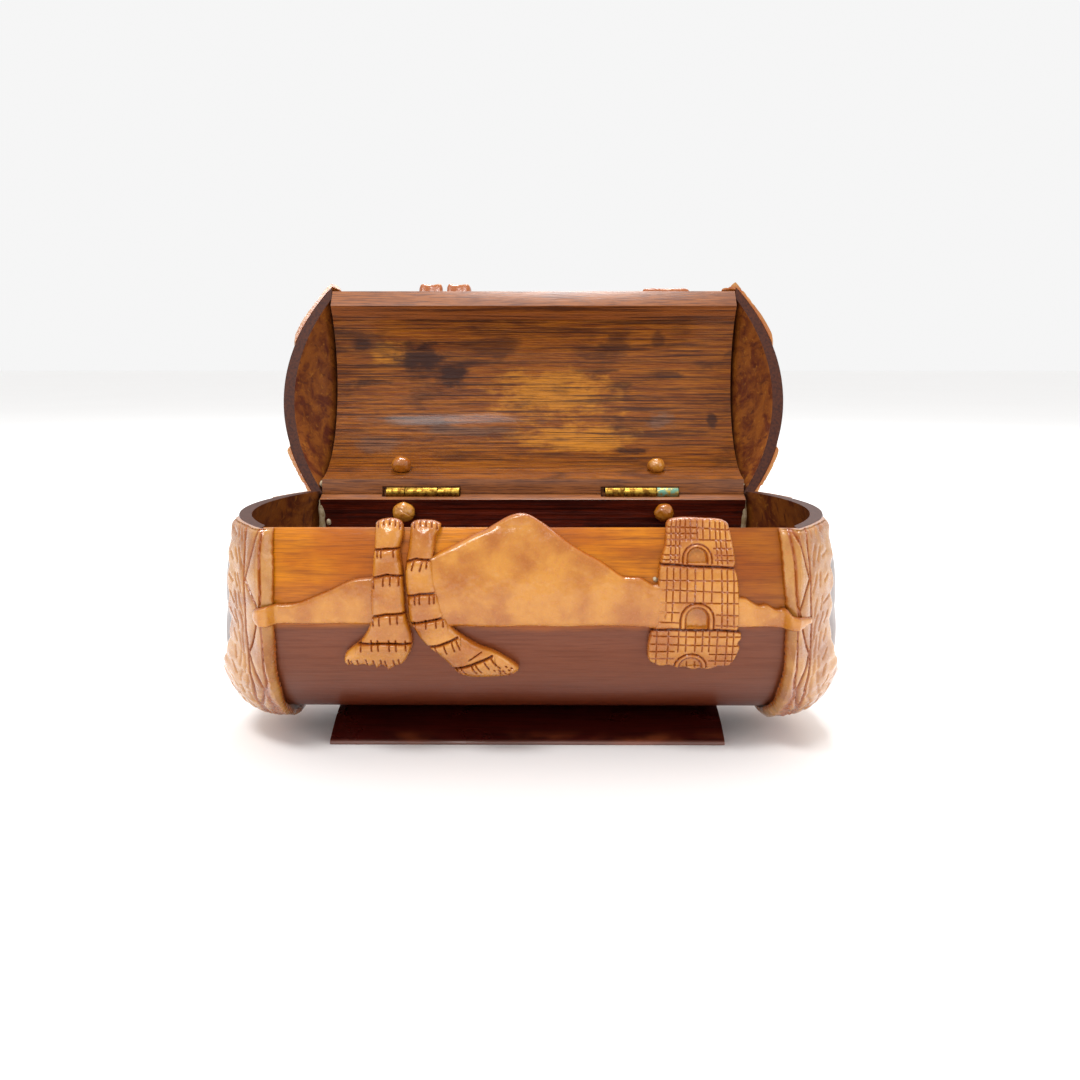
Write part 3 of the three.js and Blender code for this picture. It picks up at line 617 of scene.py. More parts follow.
def coconut_end(end, body, name):
    """Half a coconut shell, thick at the rim, with a slightly uneven inside."""
    columns = 160
    theta = np.linspace(0, 2 * np.pi, columns, endpoint=False)
    rho = np.sin(np.linspace(0.03, 1, 30) * np.pi / 2)
    rings = []
    for size, order in (((SHELL_RADIUS - SHELL_WALL, SHELL_DEPTH - SHELL_WALL), rho),
                        ((SHELL_RADIUS, SHELL_DEPTH), rho[::-1])):
        for r in order:
            rings.append(dome_points(end, theta, np.full(columns, r), *size))
    points = np.concatenate(rings)
    faces = grid_faces(len(rings), columns)
    faces.append(tuple(range(columns))[::-1])
    faces.append(tuple(range((len(rings) - 1) * columns, len(rings) * columns)))
    inside = np.arange(len(points)) < len(rho) * columns
    edge = np.tile(np.concatenate([rho, rho[::-1]]), (columns, 1)).T.ravel()
    # A painted shadow along the inside's rim, where the shell meets the bamboo.
    stain_and_shade = np.where(inside, smoothstep(edge, 0.955, 0.985), 0)
    mesh = half_of(name, points, faces, body, stain_and_shade)
    centres = face_centres(mesh, body)
    normals = np.empty(len(mesh.polygons) * 3)
    mesh.polygons.foreach_get("normal", normals)
    normals = normals.reshape(-1, 3)
    out_y = normals[:, 1]
    out_z = normals[:, 2]
    if body == "lid":
        across, up = math.cos(OPEN_ANGLE), math.sin(OPEN_ANGLE)
        out_y, out_z = out_y * across - out_z * up, out_y * up + out_z * across
    outwards = end * normals[:, 0] * 0.9
    radial = centres[:, 1] * out_y + (centres[:, 2] - POLE_Z) * out_z
    radial = radial / np.maximum(np.hypot(centres[:, 1], centres[:, 2] - POLE_Z), 1)
    flat = (np.abs(out_z) > 0.999) & (np.abs(centres[:, 2]) < 0.2)
    bevel_normal = bevel_plane(1 if body == "lid" else -1)[1]
    flat |= (out_y * bevel_normal[1] + out_z * bevel_normal[2]) > 0.9995
    index = np.where(flat, 2, np.where(outwards + radial > 0, 0, 1))
    mesh.polygons.foreach_set("material_index", index)
    materials = [shell_outside, shell_inside, shell_rim]
    add_piece(name + "_visual", mesh, body, materials, [name])


def line_distance(points, lines):
    """For each point, the distance to the nearest of some polylines."""
    starts = np.concatenate([np.asarray(line[:-1], float) for line in lines])
    ends = np.concatenate([np.asarray(line[1:], float) for line in lines])
    best = np.full(len(points), np.inf)
    for a, b in zip(starts, ends):
        along = b - a
        length = max(float(along @ along), 1e-9)
        t = np.clip(((points - a) @ along) / length, 0, 1)
        best = np.minimum(best, np.hypot(*(points - a - t[:, None] * along).T))
    return best


BAND_ON_CULM = RIM_X - BAND_INNER_X
BAND_ON_DOME = 22.0  # along the dome, at the band's level
BAND_WIDTH = BAND_ON_CULM + BAND_ON_DOME
ROUND_MM = math.radians(1) * 46  # along the band, for a degree round the pole line
MEAN_RADIUS = 45  # of the band's base, round the culm's axis

# Angles round the culm, up from level at the front, and the band's lines there, along X.
BAND_ANGLES = [90, 24, 12, -4, -22, -36, -50, -65, -90]
BAND_LINES = {
    -1: {"edge": [70.4, 70.7, 70.6, 70.8, 71.6, 72.3, 72.9, 73.4, 73.4],
         "near": [73.4, 73.6, 73.7, 73.9, 74.6, 75.6, 76.3, 76.8, 76.9],
         "far": [79.2, 79.4, 79.6, 79.7, 80.2, 80.6, 80.9, 81, 81]},
    1: {"edge": [68.8, 68.9, 69.9, 71, 72, 72.3, 72.2, 71.8, 71.8],
        "near": [71.4, 71.6, 72.7, 73.8, 75, 76, 76.6, 76.9, 76.9],
        "far": [76.2, 76.4, 77.4, 78.5, 79.8, 80.3, 80.2, 80.4, 80.5]},
}
# Corners of the zigzag between the two lines, the first on the near one.
BAND_CORNERS = [24, 7, -4.5, -23.5, -39, -54]
BAND_CORNER_STEP = 15.0
UNSEEN_CORNER_STEP = 17.0
SEAM_ANGLE = -250.0  # the band's pattern runs from here, round the front, to 360 degrees on
SCALLOP = 10.5  # along the band, for each lobe of its far edge
BAND_GRID = (900, 74)  # round the band, and across it
BAND_EDGE_ROUND = 1.6
GROOVE_DEPTH, GROOVE_WIDTH = 0.6, 0.3
VEIN_DEPTH, VEIN_WIDTH = 0.34, 0.45
CORNER_ROUND = 2.2  # how far from a cut the band starts to thin


def pole_angle(angle):
    """From an angle round the culm's axis to one round the dome's pole line."""
    turn = np.radians(angle)
    above = (AXIS_Z - POLE_Z) + MEAN_RADIUS * np.sin(turn)
    return math.degrees(math.atan2(above, MEAN_RADIUS * np.cos(turn)))


def across_at(x, angle):
    """How far across the band a given X lies, at an angle round the pole line."""
    below = np.maximum(0, -np.sin(np.radians(angle)))
    blunt = smoothstep(below, 0, 1)
    rise = np.clip((x - RIM_X) / (SHELL_DEPTH + BAND_TOP), 0, 1)
    rho = (1 - rise ** (1 / (1 - 0.5 * blunt))) ** (1 / (2 + 1.5 * blunt))
    on_dome = BAND_ON_CULM + (1 - rho) / (1 - BAND_END_RHO) * BAND_ON_DOME
    return np.where(x < RIM_X, x - BAND_INNER_X, on_dome)


def band_line(end, name, angle):
    """A line of the band, as distance across, at angles round the pole line."""
    known = np.array([pole_angle(a) for a in BAND_ANGLES])
    x = np.interp(angle, known[::-1], BAND_LINES[end][name][::-1])
    return across_at(x, angle)


def band_surface(end, theta, across, height):
    """A point on the band: across 0 at its edge on the bamboo, height above its base."""
    on_dome = np.maximum(across - BAND_ON_CULM, 0) / BAND_ON_DOME
    rho = 1 - (1 - BAND_END_RHO) * on_dome
    radius = SHELL_RADIUS + GAP + height
    depth = SHELL_DEPTH + GAP + height
    points = dome_points(end, theta, rho, radius, depth)
    on_culm = np.clip(1 - across / BAND_ON_CULM, 0, 1)
    low = RELIEF_BASE + 0.72 * height
    culm_radius = low * on_culm + radius * (1 - on_culm)
    reach = reach_to(culm_radius, theta)
    flat = np.stack([
        end * (BAND_INNER_X + np.minimum(across, BAND_ON_CULM)),
        reach * np.cos(theta),
        POLE_Z + reach * np.sin(theta),
    ], axis=-1)
    return np.where((across < BAND_ON_CULM)[..., None], flat, points)


def band_pattern(end):
    """Cut lines of a band as (round, across) in mm: the deep ones, and the fine ones."""
    corners = list(BAND_CORNERS)
    while corners[-1] > -80:
        corners.append(corners[-1] - BAND_CORNER_STEP)
    while corners[0] < 80:
        corners.insert(0, corners[0] + BAND_CORNER_STEP)
    near_first = corners.index(BAND_CORNERS[0]) % 2
    angles = [pole_angle(a) for a in corners]
    while angles[-1] > SEAM_ANGLE + 5:
        angles.append(angles[-1] - UNSEEN_CORNER_STEP)
    while angles[0] < SEAM_ANGLE + 355:
        angles.insert(0, angles[0] + UNSEEN_CORNER_STEP)
        near_first = 1 - near_first
    zigzag = []
    for k, angle in enumerate(angles):
        name = "near" if k % 2 == near_first else "far"
        inset = 0.5 if name == "near" else -0.5
        zigzag.append((angle * ROUND_MM, float(band_line(end, name, angle)) + inset))
    lines = [zigzag]
    sweep = np.linspace(angles[-1], angles[0], 240)
    for name, phase in (("near", 0.0), ("far", 2.0)):
        across = band_line(end, name, sweep) + 0.14 * np.sin(sweep * 0.33 + phase)
        lines.append(list(zip(sweep * ROUND_MM, across)))
    fine = []
    angle = angles[-1]
    while angle < angles[0]:
        at = angle * ROUND_MM
        far = float(band_line(end, "far", angle))
        shift = rng.uniform(-0.8, 0.8, 6)
        length = rng.uniform(5, 9)
        fine.append([(at, far + 1.8 + shift[0]), (at + 0.5 * length, far + 2.3 + shift[1]),
                     (at + length, far + 3.2 + shift[1])])
        fine.append([(at + 2, far + 4.6 + shift[2]), (at + 2 + 0.8 * length, far + 6 + shift[3])])
        fine.append([(at + 4, far + 7.5 + shift[4]), (at + 3 + 0.7 * length, far + 10.5 + shift[5])])
        angle += 9.5
    return lines, fine


def putty_band(end, body, name):
    """A moulded band with two grooves, a zigzag between them and leaf veins outside."""
    columns, rows = BAND_GRID
    theta = np.linspace(0, 2 * np.pi, columns, endpoint=False)
    front = (np.degrees(np.pi - theta) - SEAM_ANGLE) % 360 + SEAM_ANGLE
    round_mm = front * ROUND_MM
    lines, fine = band_pattern(end)
    wave = 0.1 * np.sin(round_mm * 2.3) * np.sin(round_mm * 0.23) + 0.14 * np.sin(round_mm * 0.31)
    lobes = np.abs(np.sin(round_mm * np.pi / SCALLOP))
    start = band_line(end, "edge", front) + wave
    stop = BAND_WIDTH + (1.2 * lobes - 1.2) + 0.4 * np.sin(round_mm * 0.5)
    across = start[None, :] + (stop - start)[None, :] * np.linspace(0, 1, rows)[:, None]
    around = np.broadcast_to(theta, across.shape)
    flat = np.column_stack([np.broadcast_to(round_mm, across.shape).ravel(), across.ravel()])
    cuts = line_distance(flat, lines).reshape(across.shape)
    vein = line_distance(flat, fine).reshape(across.shape)
    edge = np.minimum(across - start, stop - across)
    profile = np.sqrt(np.clip(1 - (1 - np.clip(edge / BAND_EDGE_ROUND, 0, 1)) ** 2, 0, 1))
    height = (BAND_TOP - GAP) * (0.3 + 0.7 * profile)
    near = band_line(end, "near", front)[None, :]
    far = band_line(end, "far", front)[None, :]
    between = smoothstep(across, near, near + 1.2) * (1 - smoothstep(across, far - 1.2, far))
    height += between * 0.35 * np.clip(cuts / 2.0, 0, 1) - 0.2 * between
    beyond = smoothstep(across, far + 0.3, far + 2.5)
    height += 0.2 * beyond * lobes[None, :]
    if body == "lid":
        height += 0.1 * np.exp(-(((front - 40) / 9) ** 2))[None, :] * np.clip(edge / 2, 0, 1)
    lumps = np.array([
        noise.noise(Vector((p[0] * 0.25 + 40 * end, p[1] * 0.25, 3.1))) for p in flat
    ]).reshape(across.shape)
    height += 0.25 * lumps
    height -= GROOVE_DEPTH * np.exp(-((cuts / GROOVE_WIDTH) ** 2))
    height -= VEIN_DEPTH * np.exp(-((vein / VEIN_WIDTH) ** 2))
    from_cut = np.abs(band_surface(end, around, across, height)[..., 2])
    corner = np.sqrt(1 - (1 - np.clip(from_cut / CORNER_ROUND, 0, 1)) ** 2)
    height = np.maximum(height * (0.25 + 0.75 * corner), 0.15)
    stain_and_shade = 0.72 * np.exp(-((cuts / 0.42) ** 2)) + 0.3 * np.exp(-((vein / VEIN_WIDTH) ** 2))
    stain_and_shade = np.maximum(stain_and_shade, 0.6 * np.exp(-(((across - start) / 0.3) ** 2)))
    top = band_surface(end, around, across, height).reshape(-1, 3)
    under_rows = [rows - 1, (3 * rows) // 4, rows // 2, rows // 4, rows // 8, 0]
    under = np.concatenate([
        band_surface(end, theta, across[row], np.zeros(columns)) for row in under_rows
    ])
    points = np.concatenate([top, under])
    faces = grid_faces(rows + len(under_rows), columns, close_rows=True)
    stain_and_shade = np.concatenate([stain_and_shade.ravel(), np.full(len(under), 0.5)])
    mesh = half_of(name, points, faces, body, stain_and_shade)
    add_piece(name + "_visual", mesh, body, [band_putty], [name])


# ------------------------------------------------------------------ putty relief


def rounded_outline(points, step):
    """A closed curve through the points, sampled evenly."""
    points = np.asarray(points, float)
    before = np.roll(points, 1, axis=0)
    after = np.roll(points, -1, axis=0)
    beyond = np.roll(points, -2, axis=0)
    pieces = []
    for t in np.linspace(0, 1, 12, endpoint=False):
        pieces.append(0.5 * (2 * points + (after - before) * t
                             + (2 * before - 5 * points + 4 * after - beyond) * t**2
                             + (3 * points - before - 3 * after + beyond) * t**3))
    points = np.stack(pieces, axis=1).reshape(-1, 2)
    closed = np.vstack([points, points[:1]])
    lengths = np.r_[0, np.cumsum(np.hypot(*np.diff(closed, axis=0).T))]
    wanted = np.linspace(0, lengths[-1], max(int(lengths[-1] / step), 8), endpoint=False)
    return np.column_stack([np.interp(wanted, lengths, closed[:, k]) for k in (0, 1)])


def inside_of(points, outline):
    """Which points lie inside a closed outline."""
    x, y = points.T
    inside = np.zeros(len(points), bool)
    for (ax, ay), (bx, by) in zip(outline, np.roll(outline, -1, axis=0)):
        crosses = (ay > y) != (by > y)
        if ay != by:
            inside ^= crosses & (x < (bx - ax) * (y - ay) / (by - ay) + ax)
    return inside


UPRIGHT_FROM, UPRIGHT_TO = 16.5, 19.5  # above the axis, where relief turns upright at the rim
BAND_STEP_FROM, BAND_STEP_TO = 69.6, 72.6  # along X, where the hills climb over the bands


def front_wall(x, h, depth):
    """Puts (x, height above the culm's axis, depth) on the front of the body."""
    on_culm = -np.sqrt(np.maximum((RELIEF_BASE + depth) ** 2 - h**2, 1))
    upright = -(RIM_HALF_WIDTH + GAP + 0.02) - depth
    blend = smoothstep(h, UPRIGHT_FROM, UPRIGHT_TO)
    y = on_culm * (1 - blend) + np.minimum(on_culm, upright) * blend
    beyond = np.maximum(np.abs(x) - RIM_X, 0)
    rise = np.clip(beyond / (SHELL_DEPTH + BAND_TOP + GAP + depth), 0, 0.98)
    rho = np.sqrt(1 - rise)
    fall = POLE_Z - AXIS_Z
    centre = fall - fall * rho
    over = rho * (SHELL_RADIUS + BAND_TOP + 0.1 + depth)
    on_band = -np.sqrt(np.maximum(over**2 - (h - centre) ** 2, 1))
    step = smoothstep(np.abs(x), BAND_STEP_FROM, BAND_STEP_TO)
    return np.column_stack([x, y * (1 - step) + on_band * step, h + AXIS_Z])


LID_RELIEF_START = 3.2  # above the rim, clear of the relief that stands up from the body


def lid_wall(x, t, depth):
    """Puts (x, distance round the lid from the relief's level edge, depth) on the lid."""
    radius = RELIEF_BASE + depth
    angle = np.arcsin((LID_RELIEF_START - AXIS_Z) / radius) + t / (CULM_RADIUS + 1.5)
    return np.column_stack([x, -radius * np.cos(angle), radius * np.sin(angle) + AXIS_Z])


def relief(name, node, body, outline, put, thickness, edge, spacing=0.3, start=0.3,
           cuts=(), shape=None):
    """A moulded slab over an outline, rounded over its edge from a share of its thickness.

    Each cut is some lines, a half width, a depth and how dark it is coloured.
    """
    outline = rounded_outline(outline, spacing)
    low, high = outline.min(0), outline.max(0)
    xs = np.arange(low[0], high[0], spacing)
    hs = np.arange(low[1], high[1], spacing * 0.9)
    grid = np.stack(np.meshgrid(xs, hs), axis=-1)
    grid[1::2, :, 0] += spacing / 2
    grid = grid.reshape(-1, 2)
    grid = grid[inside_of(grid, outline)]
    closed = np.vstack([outline, outline[:1]])
    grid = grid[line_distance(grid, [closed]) > 0.55 * spacing]
    points = np.vstack([outline, grid])
    count = len(outline)
    rim = [(k, (k + 1) % count) for k in range(count)]
    flat, _, triangles, origin, _, _ = delaunay_2d_cdt(
        [Vector(p) for p in points], rim, [tuple(range(count))], 1, 1e-6
    )
    flat = np.array([tuple(p) for p in flat])
    from_edge = line_distance(flat, [closed])
    from_edge[[k for k, o in enumerate(origin) if o and o[0] < count]] = 0
    profile = np.sqrt(np.clip(1 - (1 - np.clip(from_edge / edge, 0, 1)) ** 2, 0, 1))
    height = thickness * (start + (1 - start) * profile)
    if shape is not None:
        height = height + shape(flat[:, 0], flat[:, 1], from_edge) * np.clip(from_edge / 0.6, 0, 1)
    stain_and_shade = 0.55 * np.exp(-((from_edge / 0.4) ** 2))
    for lines, width, depth, dark in cuts:
        near = line_distance(flat, lines)
        height = height - depth * np.exp(-((near / width) ** 2))
        stain_and_shade = np.maximum(stain_and_shade, dark * np.exp(-((near / (1.35 * width)) ** 2)))
    lumps = np.array([
        noise.noise(Vector((x * 0.35, h * 0.35, 1.7))) + 0.5 * noise.noise(Vector((x, h, 8.1)))
        for x, h in flat
    ])
    height = np.maximum(height + 0.16 * lumps * np.clip(from_edge, 0, 1), 0.1)
    top = put(flat[:, 0], flat[:, 1], height)
    base = put(outline[:, 0], outline[:, 1], np.full(count, -0.2))
    ring = [None] * count
    for k, o in enumerate(origin):
        if o and o[0] < count:
            ring[o[0]] = k
    faces = [tuple(t) for t in triangles]
    under, _, under_triangles, _, _, _ = delaunay_2d_cdt(
        [Vector(p) for p in outline], rim, [tuple(range(count))], 1, 1e-6
    )
    first = len(top)
    faces += [tuple(first + k for k in reversed(t)) for t in under_triangles]
    for k in range(count):
        n = (k + 1) % count
        faces.append((ring[k], first + k, first + n, ring[n]))
    points = np.vstack([top, base])
    stain_and_shade = np.concatenate([stain_and_shade, np.full(count, 0.6)])
    mesh = new_mesh(name, points, faces, body)
    bm = bmesh.new()
    bm.from_mesh(mesh)
    bmesh.ops.recalc_face_normals(bm, faces=bm.faces[:])
    bm.to_mesh(mesh)
    bm.free()
    shade(mesh, 50)
    add_piece(name, mesh, body, [putty], [node], stain_and_shade)


def tick_lines(tops, slant, drop):
    """Short cuts that hang from points of a groove."""
    return [[(x, h), (x + slant, h - drop)] for x, h in tops]


def bulges(lines, size):
    """A swelling just under each groove, as where one ring of bark overlaps the next."""
    def shape(x, h, from_edge):
        total = np.zeros(len(x))
        for line in lines:
            line = sorted(line)
            at = np.interp(x, [p[0] for p in line], [p[1] for p in line])
            below = at - h
            near = (x > line[0][0] - 0.8) & (x < line[-1][0] + 0.8)
            total += size * near * np.exp(-(((below - 1.5) / 1.5) ** 2))
        return total
    return shape


TRUNK_LEFT = [
    (-42.5, 18.8), (-42.2, 20.4), (-40.9, 21.2), (-38.1, 21.6), (-35.8, 21.0), (-34.8, 19.6),
    (-34.7, 16.8), (-35.5, 13.1), (-34.7, 7.9), (-34.2, 0.1), (-34.1, -3.9), (-33.3, -8),
    (-32.7, -10.6), (-32.7, -14.1), (-33.9, -17.2), (-35.9, -20.1), (-37.7, -20.8),
    (-39, -21.6), (-40.1, -22.3), (-40.8, -21.3), (-42.1, -20.8), (-43.4, -21.8),
    (-44.1, -20.6), (-45.5, -21.1), (-47, -20.4), (-48.5, -20.9), (-50, -20.6),
    (-51.6, -20.6), (-52.4, -19.2), (-51.7, -16.6), (-49.8, -14.6), (-47, -12.3),
    (-45.5, -10.2), (-44.4, -8), (-43.7, -5.5), (-43.7, 0.1), (-43.2, 5.6), (-43, 9.7),
    (-42.7, 13.5), (-42.6, 16.8),
]
LEFT_GROOVES = [
    [(-43.2, 13.2), (-39.2, 13.8), (-35.2, 13.7)],
    [(-43.6, 5.6), (-38.8, 6.9), (-34.2, 6.2)],
    [(-44.2, -5.4), (-39.4, -4.2), (-33.8, -4.1)],
    [(-47.6, -13.3), (-40.6, -12.9), (-32.9, -13.2)],
]
LEFT_TICKS = [
    *tick_lines([(-41.5, 20.8), (-40, 21.3), (-38.4, 21.5), (-36.8, 21.1), (-35.6, 20.4)], 0.1, 1.5),
    *tick_lines([(-41.5, 13.2), (-40.4, 13.2), (-37.1, 13.3)], 0.1, 1.7),
    *tick_lines([(-42.5, 5.2), (-39.7, 6.1), (-37.8, 6.2), (-35.5, 6)], -0.1, 2.2),
    *tick_lines([(-43, -5.3), (-41.2, -5), (-38.1, -4.6), (-36.2, -4.6)], 0, 2.4),
    *tick_lines([(-46.9, -12.3), (-43.8, -12), (-42, -12), (-38.9, -12), (-37, -12),
                 (-34.4, -12.2)], 0.1, 3.1),
    *tick_lines([(-50.8, -18.4), (-50, -18.8), (-48.3, -18.4), (-45.8, -18.2), (-43.8, -18.5),
                 (-41.7, -18.3), (-40.5, -18.6), (-38.1, -18.4), (-36.7, -18.2)], 0.1, 3.0),
]

TRUNK_RIGHT = [
    (-32.8, 18.6), (-32.6, 20), (-31.6, 20.8), (-29.7, 21.1), (-26.9, 21), (-25, 20.4),
    (-24.3, 19.6), (-24.8, 18.3), (-25.6, 16.8), (-25.9, 14.3), (-26.3, 10.5), (-25.9, 5.6),
    (-25.1, 1.7), (-24.2, -2.2), (-22.8, -5.9), (-20.9, -8.8), (-17.9, -11.4), (-14, -14),
    (-9.8, -15.8), (-6.3, -18.1), (-3.3, -20.7), (-3, -22.2), (-4.4, -23.7), (-7.2, -24.5),
    (-11.7, -24.9), (-16.1, -25), (-19.2, -24), (-21.1, -22.3), (-24.4, -18.2),
    (-28.2, -14.5), (-30.4, -11.8), (-32.2, -8.4), (-33.2, -5.9), (-33.6, 0.1),
    (-34.1, 5.6), (-33.9, 9.8), (-33.2, 14.2),
]
RIGHT_GROOVES = [
    [(-34.5, 9.8), (-30.7, 11.2), (-26.1, 10.5)],
    [(-34, 0.6), (-29.6, 1.6), (-25, 1.6)],
    [(-33.5, -7.3), (-28.6, -6.3), (-23.3, -5.3)],
    [(-29, -14.5), (-24.6, -13.4), (-19.9, -11.3)],
    [(-22, -21.6), (-16.6, -20), (-10.4, -17.1)],
]
RIGHT_TICKS = [
    *tick_lines([(-31.6, 20.6), (-30, 21), (-28.4, 21), (-26.8, 20.8), (-25.4, 20.2)], 0.1, 1.5),
    [(-33.6, 9.7), (-33.7, 8.2)], [(-31.4, 10.3), (-32, 8.1)], [(-29.1, 10.2), (-29.8, 7.9)],
    [(-27.8, 10.5), (-28, 8.6)],
    *tick_lines([(-33, 0.6), (-31.2, 0.9), (-29.9, 1.1), (-27.2, 1.2), (-26, 1.2)], 0, 2.3),
    *tick_lines([(-31.6, -6.5), (-28.4, -5.9), (-25.6, -5.7), (-23.7, -5.5)], 0.1, 2.3),
    [(-28.2, -14.5), (-27.5, -16.4)], [(-26.2, -14.1), (-25.5, -16.8)],
    [(-23.6, -13.6), (-23, -16.2)], [(-21.4, -12.6), (-20.7, -15.3)],
    [(-20.1, -12.2), (-19.2, -14.8)],
    [(-20.7, -21.2), (-19.3, -23.3)], [(-19.4, -20.8), (-18, -22.9)],
    [(-16.2, -20.2), (-14.8, -22.9)], [(-15, -19.8), (-13.5, -22.5)],
    [(-12.6, -18.6), (-11.3, -21.2)], [(-10.7, -17.6), (-9.2, -20.1)],
    [(-13.3, -15.8), (-16.9, -18.4)],
    *[[(x, h), (x + 0.3, h - 0.25)] for x, h in
      zip(rng.uniform(-10, -4.6, 16), rng.uniform(-23.4, -20.4, 16))],
]

MOUNTAIN = [
    (-29, -8.2), (-29, 9.8), (-26.2, 11.7), (-23.9, 13), (-20, 14.8), (-15.8, 16.9),
    (-12, 18.5), (-9.2, 20.1), (-6.5, 21.7), (-4.6, 22.5), (-2.6, 22.9), (-0.7, 22.7),
    (1.2, 21.9), (4.3, 19.9), (8, 17.2), (11.9, 14.5), (16, 12.1), (20.1, 10), (25.3, 6.4),
    (28, 5.9), (31.1, 5.6), (34.2, 3.9), (38, 3.2), (38, -8), (30, -8.3), (20, -8.1),
    (10, -8.4), (0, -8.2), (-10, -8.5), (-20, -8.2),
]
HILL_LEFT = [
    (-76.6, -5.2), (-76, -3.3), (-74.4, -2.4), (-71.8, -1.9), (-67.3, -1.8), (-63.8, -1.4),
    (-59.3, 0.4), (-54.9, 2.2), (-51.3, 4), (-47.8, 5.3), (-43.8, 5.7), (-41, 5.8),
    (-41, -7.7), (-44.7, -7.8), (-52, -7.6), (-60.7, -7.7), (-68, -7.6), (-74.4, -7.8),
    (-76.5, -6.1),
]
HILL_RIGHT = [
    (55, 0.4), (58.4, 0.2), (59.9, 0), (61.5, -1), (63.5, -2), (65.8, -1.8), (68.5, -3.2),
    (70.8, -2.8), (72.5, -4.4), (76.4, -5.2), (78.6, -5.9), (78.9, -7.5), (77, -7.9),
    (73.6, -8.8), (66, -8.4), (58.8, -8.6), (55, -8.6),
]
TOWER = [
    (37.9, 20.3), (39.3, 21.5), (42.8, 21.9), (47.8, 21.7), (52.4, 21.4), (54.7, 20.4),
    (55.4, 18.5), (56, 15.9), (56.8, 10.3), (56.5, 8.5), (57.5, 5.4), (58.1, -2),
    (58.3, -6.9), (58.1, -9.4), (59, -10.3), (59.1, -12), (58.4, -13.2), (59, -14.6),
    (58.7, -16), (57.8, -18.8), (56.3, -20.7), (53.4, -20.9), (50.8, -22), (48.6, -21.6),
    (46.1, -22), (43.8, -21.2), (41.6, -21.3), (39.4, -20.5), (37.2, -20.8), (34.4, -19.6),
    (33.3, -17.5), (33.2, -13.4), (33.9, -9.5), (35, -7.8), (35.2, -3.7), (35.3, 2.3),
    (35.8, 8.8), (36.4, 11.8), (37.4, 14.8), (37.6, 17.3),
]


def arch(centre, half, top, foot, steps=9):
    """An arched line: up one side, round and down the other."""
    spring = top - half
    turn = [math.pi * (1 - k / (steps - 1)) for k in range(steps)]
    curve = [(centre + half * math.cos(a), spring + half * math.sin(a)) for a in turn]
    return [(centre - half, foot), *curve, (centre + half, foot)]


TIER_EDGES = [
    [(35.2, 9.6), (40, 9.4), (46, 8.9), (52, 8.8), (57, 8.4)],
    [(34, -9.1), (40, -8.9), (46, -9.1), (52, -9), (58.6, -9.6)],
]
ARCHES = [
    {"centre": 46.1, "half": 4.0, "top": 15.0, "foot": 9.8, "recess": 2.75, "inner": 14.1,
     "sunk": 1.2},
    {"centre": 46.4, "half": 4.6, "top": -1.2, "foot": -8.6, "recess": 3.15, "inner": -2.4,
     "sunk": 1.2},
    {"centre": 45.4, "half": 4.6, "top": -16.5, "foot": -20.6, "recess": 3.2, "inner": -17.7,
     "sunk": 0.3},
]


# Upright joints of the tower's masonry: where along X, and the line's steps from there.
TOWER_UPRIGHTS = [
    ((39.2, 40.5, 41.6), [(0, 21.2), (-0.2, 15.8), (-0.5, 10)]),
    ((43, 44.4, 46.2, 47.8, 49.7), [(0, 21.4), (0, 15.9)]),
    ((51.2, 52.4, 53.9), [(0, 20.8), (0.1, 15.8), (0.5, 9.6)]),
    ((37.9,), [(0, 8.6), (-0.3, -5.3)]),
    ((39.7,), [(0, 8.6), (-0.3, -6.3)]),
    ((41.5, 43.4, 45.6, 47.9, 50.2), [(0, 8.4), (0, -0.9)]),
    ((52.8, 54.3, 56.1), [(0, 8), (0.2, 1), (0.5, -8.2)]),
    ((41.5, 43.6, 46.2, 48.2, 50.1), [(0, -9.4), (0.1, -15.8)]),
    ((35.5, 38.7, 52.3, 55, 56.8), [(0, -9.4), (0.1, -20)]),
    ((44.3, 46.6), [(0, -19), (0.1, -21)]),
]
TOWER_COURSES = [
    [(38, 19.4), (46, 19.2), (55, 18.6)], [(37.8, 17.7), (46.3, 17.7)],
    [(37.6, 16.1), (46, 16.1), (55.6, 15.8)], [(37.2, 14.5), (41.7, 14.4)],
    [(36.6, 12.1), (41.4, 12)], [(50.6, 13.8), (55.6, 13.7)], [(50.9, 12), (56, 11.9)],
    [(36.2, 10.8), (41.2, 10.8)], [(51, 10.7), (56.2, 10.5)],
    [(35.6, 5.2), (46, 5.1), (57.7, 5)], [(35.6, 2.7), (46, 2.2), (57.7, 1.7)],
    [(35.6, -1), (46, -1.15), (57.7, -1.3)], [(35.4, -3.7), (41.4, -3.9)],
    [(51.6, -4.5), (58, -4.8)], [(35.4, -6.6), (41.4, -6.8)], [(51.6, -7.6), (58, -7.9)],
    [(33.8, -10.9), (46, -11.15), (58.7, -11.2)], [(33.8, -13.3), (46, -13.75), (58.7, -14)],
    [(33.7, -15.7), (40.6, -15.7)], [(50.4, -16.6), (58.5, -16.6)],
    [(33.7, -18), (40.6, -18)], [(50.4, -18.8), (58.5, -18.8)],
]


def tower_cuts():
    """The masonry joints scored into the tower, clear of its arches."""
    uprights = [[(x + aside, h) for aside, h in line] for xs, line in TOWER_UPRIGHTS for x in xs]
    return uprights + TOWER_COURSES


def arch_lines():
    """The scored outlines inside and outside each raised arch."""
    outer = [arch(door["centre"], door["half"], door["top"], door["foot"]) for door in ARCHES]
    inner = [arch(door["centre"], door["recess"], door["inner"], door["foot"]) for door in ARCHES]
    return outer + inner


